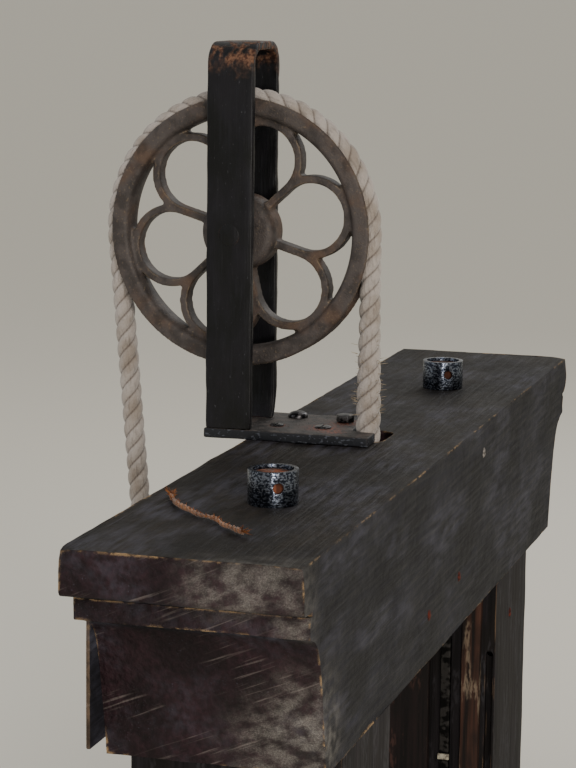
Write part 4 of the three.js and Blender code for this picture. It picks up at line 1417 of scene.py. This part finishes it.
@dataclass
class Yoke:
    """The strap, its base plate and fasteners, and the axle with its collars."""

    thickness: float = 7
    bend_radius: float = 24
    foot_height: float = 24
    foot_curl: float = 8
    notch_clearance: float = 4
    axle_hole: float = 10.02
    shank_radius: float = 4
    slot_half_width: float = 0.9
    slot_depth: float = 1.2
    fasteners: dict[str, Head] = field(default_factory=lambda: {
        "base_screw_front_outer": Head.FLAT,
        "base_bolt_rear_outer": Head.DOME,
        "base_screw_front_inner": Head.FLAT,
        "base_bolt_rear_inner": Head.HEX,
    })

    def strap_outline(self, low: Vector, high: Vector) -> list[Vector]:
        """Returns the strap's outline in X and Z, at the low corner's Y."""
        wall = self.thickness * MM
        outer = self.bend_radius * MM
        inner = outer - wall
        level = high.z - outer
        left, right = low.x + outer, high.x - outer
        points = [Vector((low.x + wall, low.y, low.z)), Vector((low.x + wall, low.y, level))]
        steps = 12
        for centre, start in ((left, math.pi), (right, math.pi / 2)):
            for i in range(steps + 1):
                a = start - math.pi / 2 * i / steps
                points.append(Vector((centre + inner * math.cos(a), low.y, level + inner * math.sin(a))))
        points += [Vector((high.x - wall, low.y, low.z)), Vector((high.x, low.y, low.z))]
        for centre, start in ((right, 0.0), (left, math.pi / 2)):
            for i in range(steps + 1):
                a = start + math.pi / 2 * i / steps
                points.append(Vector((centre + outer * math.cos(a), low.y, level + outer * math.sin(a))))
        points.append(low.copy())
        return points

    def strap(self) -> None:
        """Makes the bent strap."""
        low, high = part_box("yoke_strap")
        pin = middle_of("axle_pin")
        bm = outline_prism(self.strap_outline(low, high), Vector((0, high.y - low.y, 0)))
        soften(bm, 1.3, 3, 40)
        hole = rod(Axis.X, self.axle_hole * MM, low.x - 0.01, high.x + 0.01, pin)
        bm = combined(bm, hole, "DIFFERENCE")
        sliced(bm, Axis.Z, 7)
        sliced(bm, Axis.Y, 8)
        foot = self.foot_height * MM
        for v in bm.verts:
            share = 1 - (v.co.z - low.z) / foot
            if share > 0 and v.co.x > pin.x:
                v.co.x -= self.foot_curl * MM * share * share
        weathered(bm, 0.8, 30, 2.0)
        weathered(bm, 0.35, 9, 7.0)
        finished("bent_strap", bm, STRAP_PAINT, Body.FRAME, ["yoke_strap"])

    def plate(self) -> None:
        """Makes the base plate with its rope notch."""
        low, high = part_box("yoke_base_plate")
        rope_low, rope_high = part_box("pulley_rope")
        rope = Vector(((rope_low.x + rope_high.x) / 2, rope_low.y + ROPE_RADIUS, 0))
        bm = block(low, high)
        notch = ROPE_RADIUS + self.notch_clearance * MM
        bottom = low.z - 0.01
        points = [Vector((rope.x - notch, low.y - 0.01, bottom))]
        for i in range(13):
            a = math.pi - math.pi / 2 * i / 12
            points.append(Vector((rope.x + notch * math.cos(a), rope.y + notch * math.sin(a), bottom)))
        points.append(Vector((high.x + 0.01, rope.y + notch, bottom)))
        points.append(Vector((high.x + 0.01, low.y - 0.01, bottom)))
        bm = combined(bm, outline_prism(points, Vector((0, 0, 0.03))), "DIFFERENCE")
        soften(bm, 1.4, 3, 40)
        sliced(bm, Axis.X, 8)
        sliced(bm, Axis.Y, 8)
        weathered(bm, 0.5, 16, 4.0)
        finished("base_plate", bm, PLATE_PAINT, Body.FRAME, ["yoke_base_plate"])

    def fastener(self, node: str, head: Head) -> None:
        """Makes one fastener of the base plate.

        Args:
            node: Its CAD node.
            head: Its kind of head.
        """
        low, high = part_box(node)
        _, plate_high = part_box("yoke_base_plate")
        centre = (low + high) / 2
        radius = (high.y - low.y) / 2
        seat = plate_high.z + 0.0003
        shank_radius = self.shank_radius * MM
        shank = [(0.0, low.z), (shank_radius, low.z), (shank_radius, seat)]
        rise = high.z - seat
        at = Vector((centre.x, centre.y, 0))
        if head is Head.HEX:
            bm = rod(Axis.Z, radius, seat, high.z, at, 6)
            soften(bm, 0.9, 2, 40)
            bm = join(bm, turned([*shank, (0.0, seat)], Axis.Z, at, 24))
        else:
            share = 1.0 if head is Head.DOME else 0.35
            crown = [(radius, seat), (radius, seat + rise * 0.25)]
            for i in range(1, 8):
                a = i / 8 * math.pi / 2
                level = seat + rise * (0.25 + 0.75 * math.sin(a))
                crown.append((radius * (1 - share) + radius * share * math.cos(a), level))
            bm = turned([*shank, *crown, (0.0, high.z)], Axis.Z, at, 40)
        if head is Head.FLAT:
            half = self.slot_half_width * MM
            slot_low = Vector((centre.x - 0.02, centre.y - half, high.z - self.slot_depth * MM))
            slot_high = Vector((centre.x + 0.02, centre.y + half, high.z + 0.01))
            bm = combined(bm, block(slot_low, slot_high), "DIFFERENCE")
        finished(node + "_steel", bm, BOLT_STEEL, Body.FRAME, [node])

    def axle(self) -> None:
        """Makes the peened axle pin and the spacer collars."""
        low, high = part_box("axle_pin")
        pin = middle_of("axle_pin")
        radius = (high.z - low.z) / 2
        profile = [
            (0.0, low.x + 0.0005), (radius * 0.8, low.x + 0.0006), (radius, low.x + 0.0011),
            (radius, high.x - 0.0011), (radius * 0.8, high.x - 0.0006), (0.0, high.x - 0.0005),
        ]
        bm = turned(profile, Axis.X, Vector((0, pin.y, pin.z)), 48)
        finished("peened_axle", bm, AXLE_PAINT, Body.FRAME, ["axle_pin"])
        for node in ("spacer_collar_front", "spacer_collar_rear"):
            low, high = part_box(node)
            outer = (high.y - low.y) / 2
            wall = [(radius + 0.0003, low.x), (outer, low.x), (outer, high.x), (radius + 0.0003, high.x)]
            bm = turned(wall, Axis.X, Vector((0, pin.y, pin.z)), 48)
            soften(bm, 0.6, 2, 50)
            finished(node + "_tube", bm, BOLT_STEEL, Body.FRAME, [node])

    def build(self) -> None:
        """Makes the whole yoke."""
        self.strap()
        self.plate()
        for node, head in self.fasteners.items():
            self.fastener(node, head)
        self.axle()


# ---------------------------------------------------------------- wheel


@dataclass
class Wheel:
    """The cast rope wheel with its six-petal web, and its bush."""

    petals: int = 6
    band: float = 7.5
    web_depth: float = 18
    hub_radius: float = 36
    hub_length: float = 38
    bulge: float = 5.5
    flange: float = 13.5
    groove_radius: float = 10.5
    groove_depth: float = 2.0
    petal_in_rim: float = 2.0
    first_petal: float = 13
    voxel: float = 1.5
    petal_half_sweep: float = 122
    spoke_share: float = 0.62
    rim_lip: float = 4.5
    bush_seat: float = 14.3
    bush_bore: float = 10.08

    def rim_profile(self, radius: float, half: float) -> list[tuple[float, float]]:
        """Returns the rim's section as (radius, place across) in metres."""
        groove = self.groove_radius * MM
        centre = radius - self.groove_depth * MM
        inner = radius - self.flange * MM
        points = []
        for i in range(19):
            a = math.pi * i / 18
            points.append((centre - groove * math.sin(a), groove * math.cos(a)))
        lip = 0.002
        points += [(radius - lip, -groove - 0.0004), (radius, -groove - lip)]
        points += [(radius - 0.0005, -half + 0.001), (radius - lip, -half), (inner, -half)]
        for i in range(1, 10):
            a = math.pi * i / 10
            points.append((inner - self.bulge * MM * math.sin(a), -half * math.cos(a)))
        points += [(inner, half), (radius - lip, half), (radius - 0.0005, half - 0.001)]
        points += [(radius, groove + lip), (radius - lip, groove + 0.0004)]
        return points

    def petal(self, hub: Vector, angle: float, reach: float) -> bmesh.types.BMesh:
        """Makes one petal's band: an arc of a rectangular bar, open towards the hub.

        Args:
            hub: The wheel's centre.
            angle: The petal's direction, from -Y towards +Z.
            reach: The distance from the hub to the outside of the petal's hole.

        Returns:
            The closed bar.
        """
        pitch = math.sin(math.pi / self.petals)
        hole = (reach * pitch - self.band * MM / 2) / (1 + pitch)
        centre_radius = reach - hole
        outward = Vector((0, -math.cos(angle), math.sin(angle)))
        centre = hub + outward * centre_radius
        swing = math.radians(self.petal_half_sweep)
        across = Vector((self.web_depth * MM / 2, 0, 0))
        spin_axis = Vector((1, 0, 0))
        start = Matrix.Rotation(-swing, 3, spin_axis) @ outward
        inner, outer = hole, hole + self.band * MM
        bm = bmesh.new()
        corners = [(inner, -1), (outer, -1), (outer, 1), (inner, 1)]
        verts = [bm.verts.new(centre + start * r + across * s) for r, s in corners]
        face = bm.faces.new(verts)
        bmesh.ops.spin(
            bm, geom=[face, *face.edges, *face.verts], cent=centre, axis=spin_axis, dvec=(0, 0, 0),
            angle=2 * swing, steps=40, use_merge=False, use_normal_flip=False, use_duplicate=False,
        )
        bmesh.ops.recalc_face_normals(bm, faces=bm.faces)
        return bm

    def spoke(self, hub: Vector, angle: float, end: float) -> bmesh.types.BMesh:
        """Makes the straight bar between two petals, from inside the hub out to where they part."""
        half_depth, half_band = self.web_depth * MM / 2, self.band * MM / 2
        bm = block(Vector((-half_depth, -end, -half_band)), Vector((half_depth, 0, half_band)))
        bmesh.ops.rotate(bm, cent=(0, 0, 0), matrix=Matrix.Rotation(-angle, 3, "X"), verts=bm.verts)
        bmesh.ops.translate(bm, vec=hub, verts=bm.verts)
        return bm

    def casting(self) -> bmesh.types.BMesh:
        """Joins the rim, the petals, the spokes and the hub into one casting with soft corners."""
        low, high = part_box("pulley_wheel")
        hub = middle_of("hub_bush")
        radius = (high.z - low.z) / 2
        half = (self.groove_radius + self.rim_lip) * MM
        bm = turned(self.rim_profile(radius, half), Axis.X, hub, 160)
        reach = radius - (self.flange + self.bulge - self.petal_in_rim + self.band) * MM
        first = math.radians(self.first_petal)
        pitch = FULL_TURN / self.petals
        for i in range(self.petals):
            join(bm, self.petal(hub, first + i * pitch, reach))
            join(bm, self.spoke(hub, first + (i + 0.5) * pitch, reach * self.spoke_share))
        hub_half = self.hub_length * MM / 2
        outer = self.hub_radius * MM
        profile = [
            (0.0, -hub_half), (outer - 0.006, -hub_half), (outer - 0.0015, -hub_half + 0.003),
            (outer, -hub_half + 0.008), (outer, hub_half - 0.008), (outer - 0.0015, hub_half - 0.003),
            (outer - 0.006, hub_half), (0.0, hub_half),
        ]
        join(bm, turned(profile, Axis.X, hub, 96))
        made = as_object("casting", bm)
        skin = made.modifiers.new("skin", "REMESH")
        skin.mode = "VOXEL"
        skin.voxel_size = self.voxel * MM
        ease = made.modifiers.new("ease", "SMOOTH")
        ease.factor = 0.5
        ease.iterations = 5
        result = settled(made)
        bore = rod(Axis.X, self.bush_seat * MM, low.x - 0.01, high.x + 0.01, hub, 48)
        return combined(result, bore, "DIFFERENCE")

    def build(self) -> None:
        """Makes the wheel and its bush."""
        finished("cast_wheel", self.casting(), CAST_IRON, Body.WHEEL, ["pulley_wheel"], 60)
        low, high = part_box("hub_bush")
        hub = middle_of("hub_bush")
        outer = (high.y - low.y) / 2
        bore = self.bush_bore * MM
        wall = [(bore, low.x), (outer, low.x), (outer, high.x), (bore, high.x)]
        bm = turned(wall, Axis.X, Vector((0, hub.y, hub.z)), 64)
        soften(bm, 0.5, 2, 50)
        finished("bush", bm, HUB_IRON, Body.WHEEL, ["hub_bush"])


def main() -> None:
    """Builds the camera and the cords first, then the rest of the object."""
    logging.basicConfig(level=logging.INFO, format="%(name)s %(message)s")
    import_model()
    studio = Studio()
    studio.camera()
    Rope().build()
    Twine().build()
    Crossbeam().build()
    for end in ("near", "far"):
        Post(end).build()
    Yoke().build()
    Wheel().build()
    studio.floor()
    studio.lights()


if __name__ == "__main__":
    main()
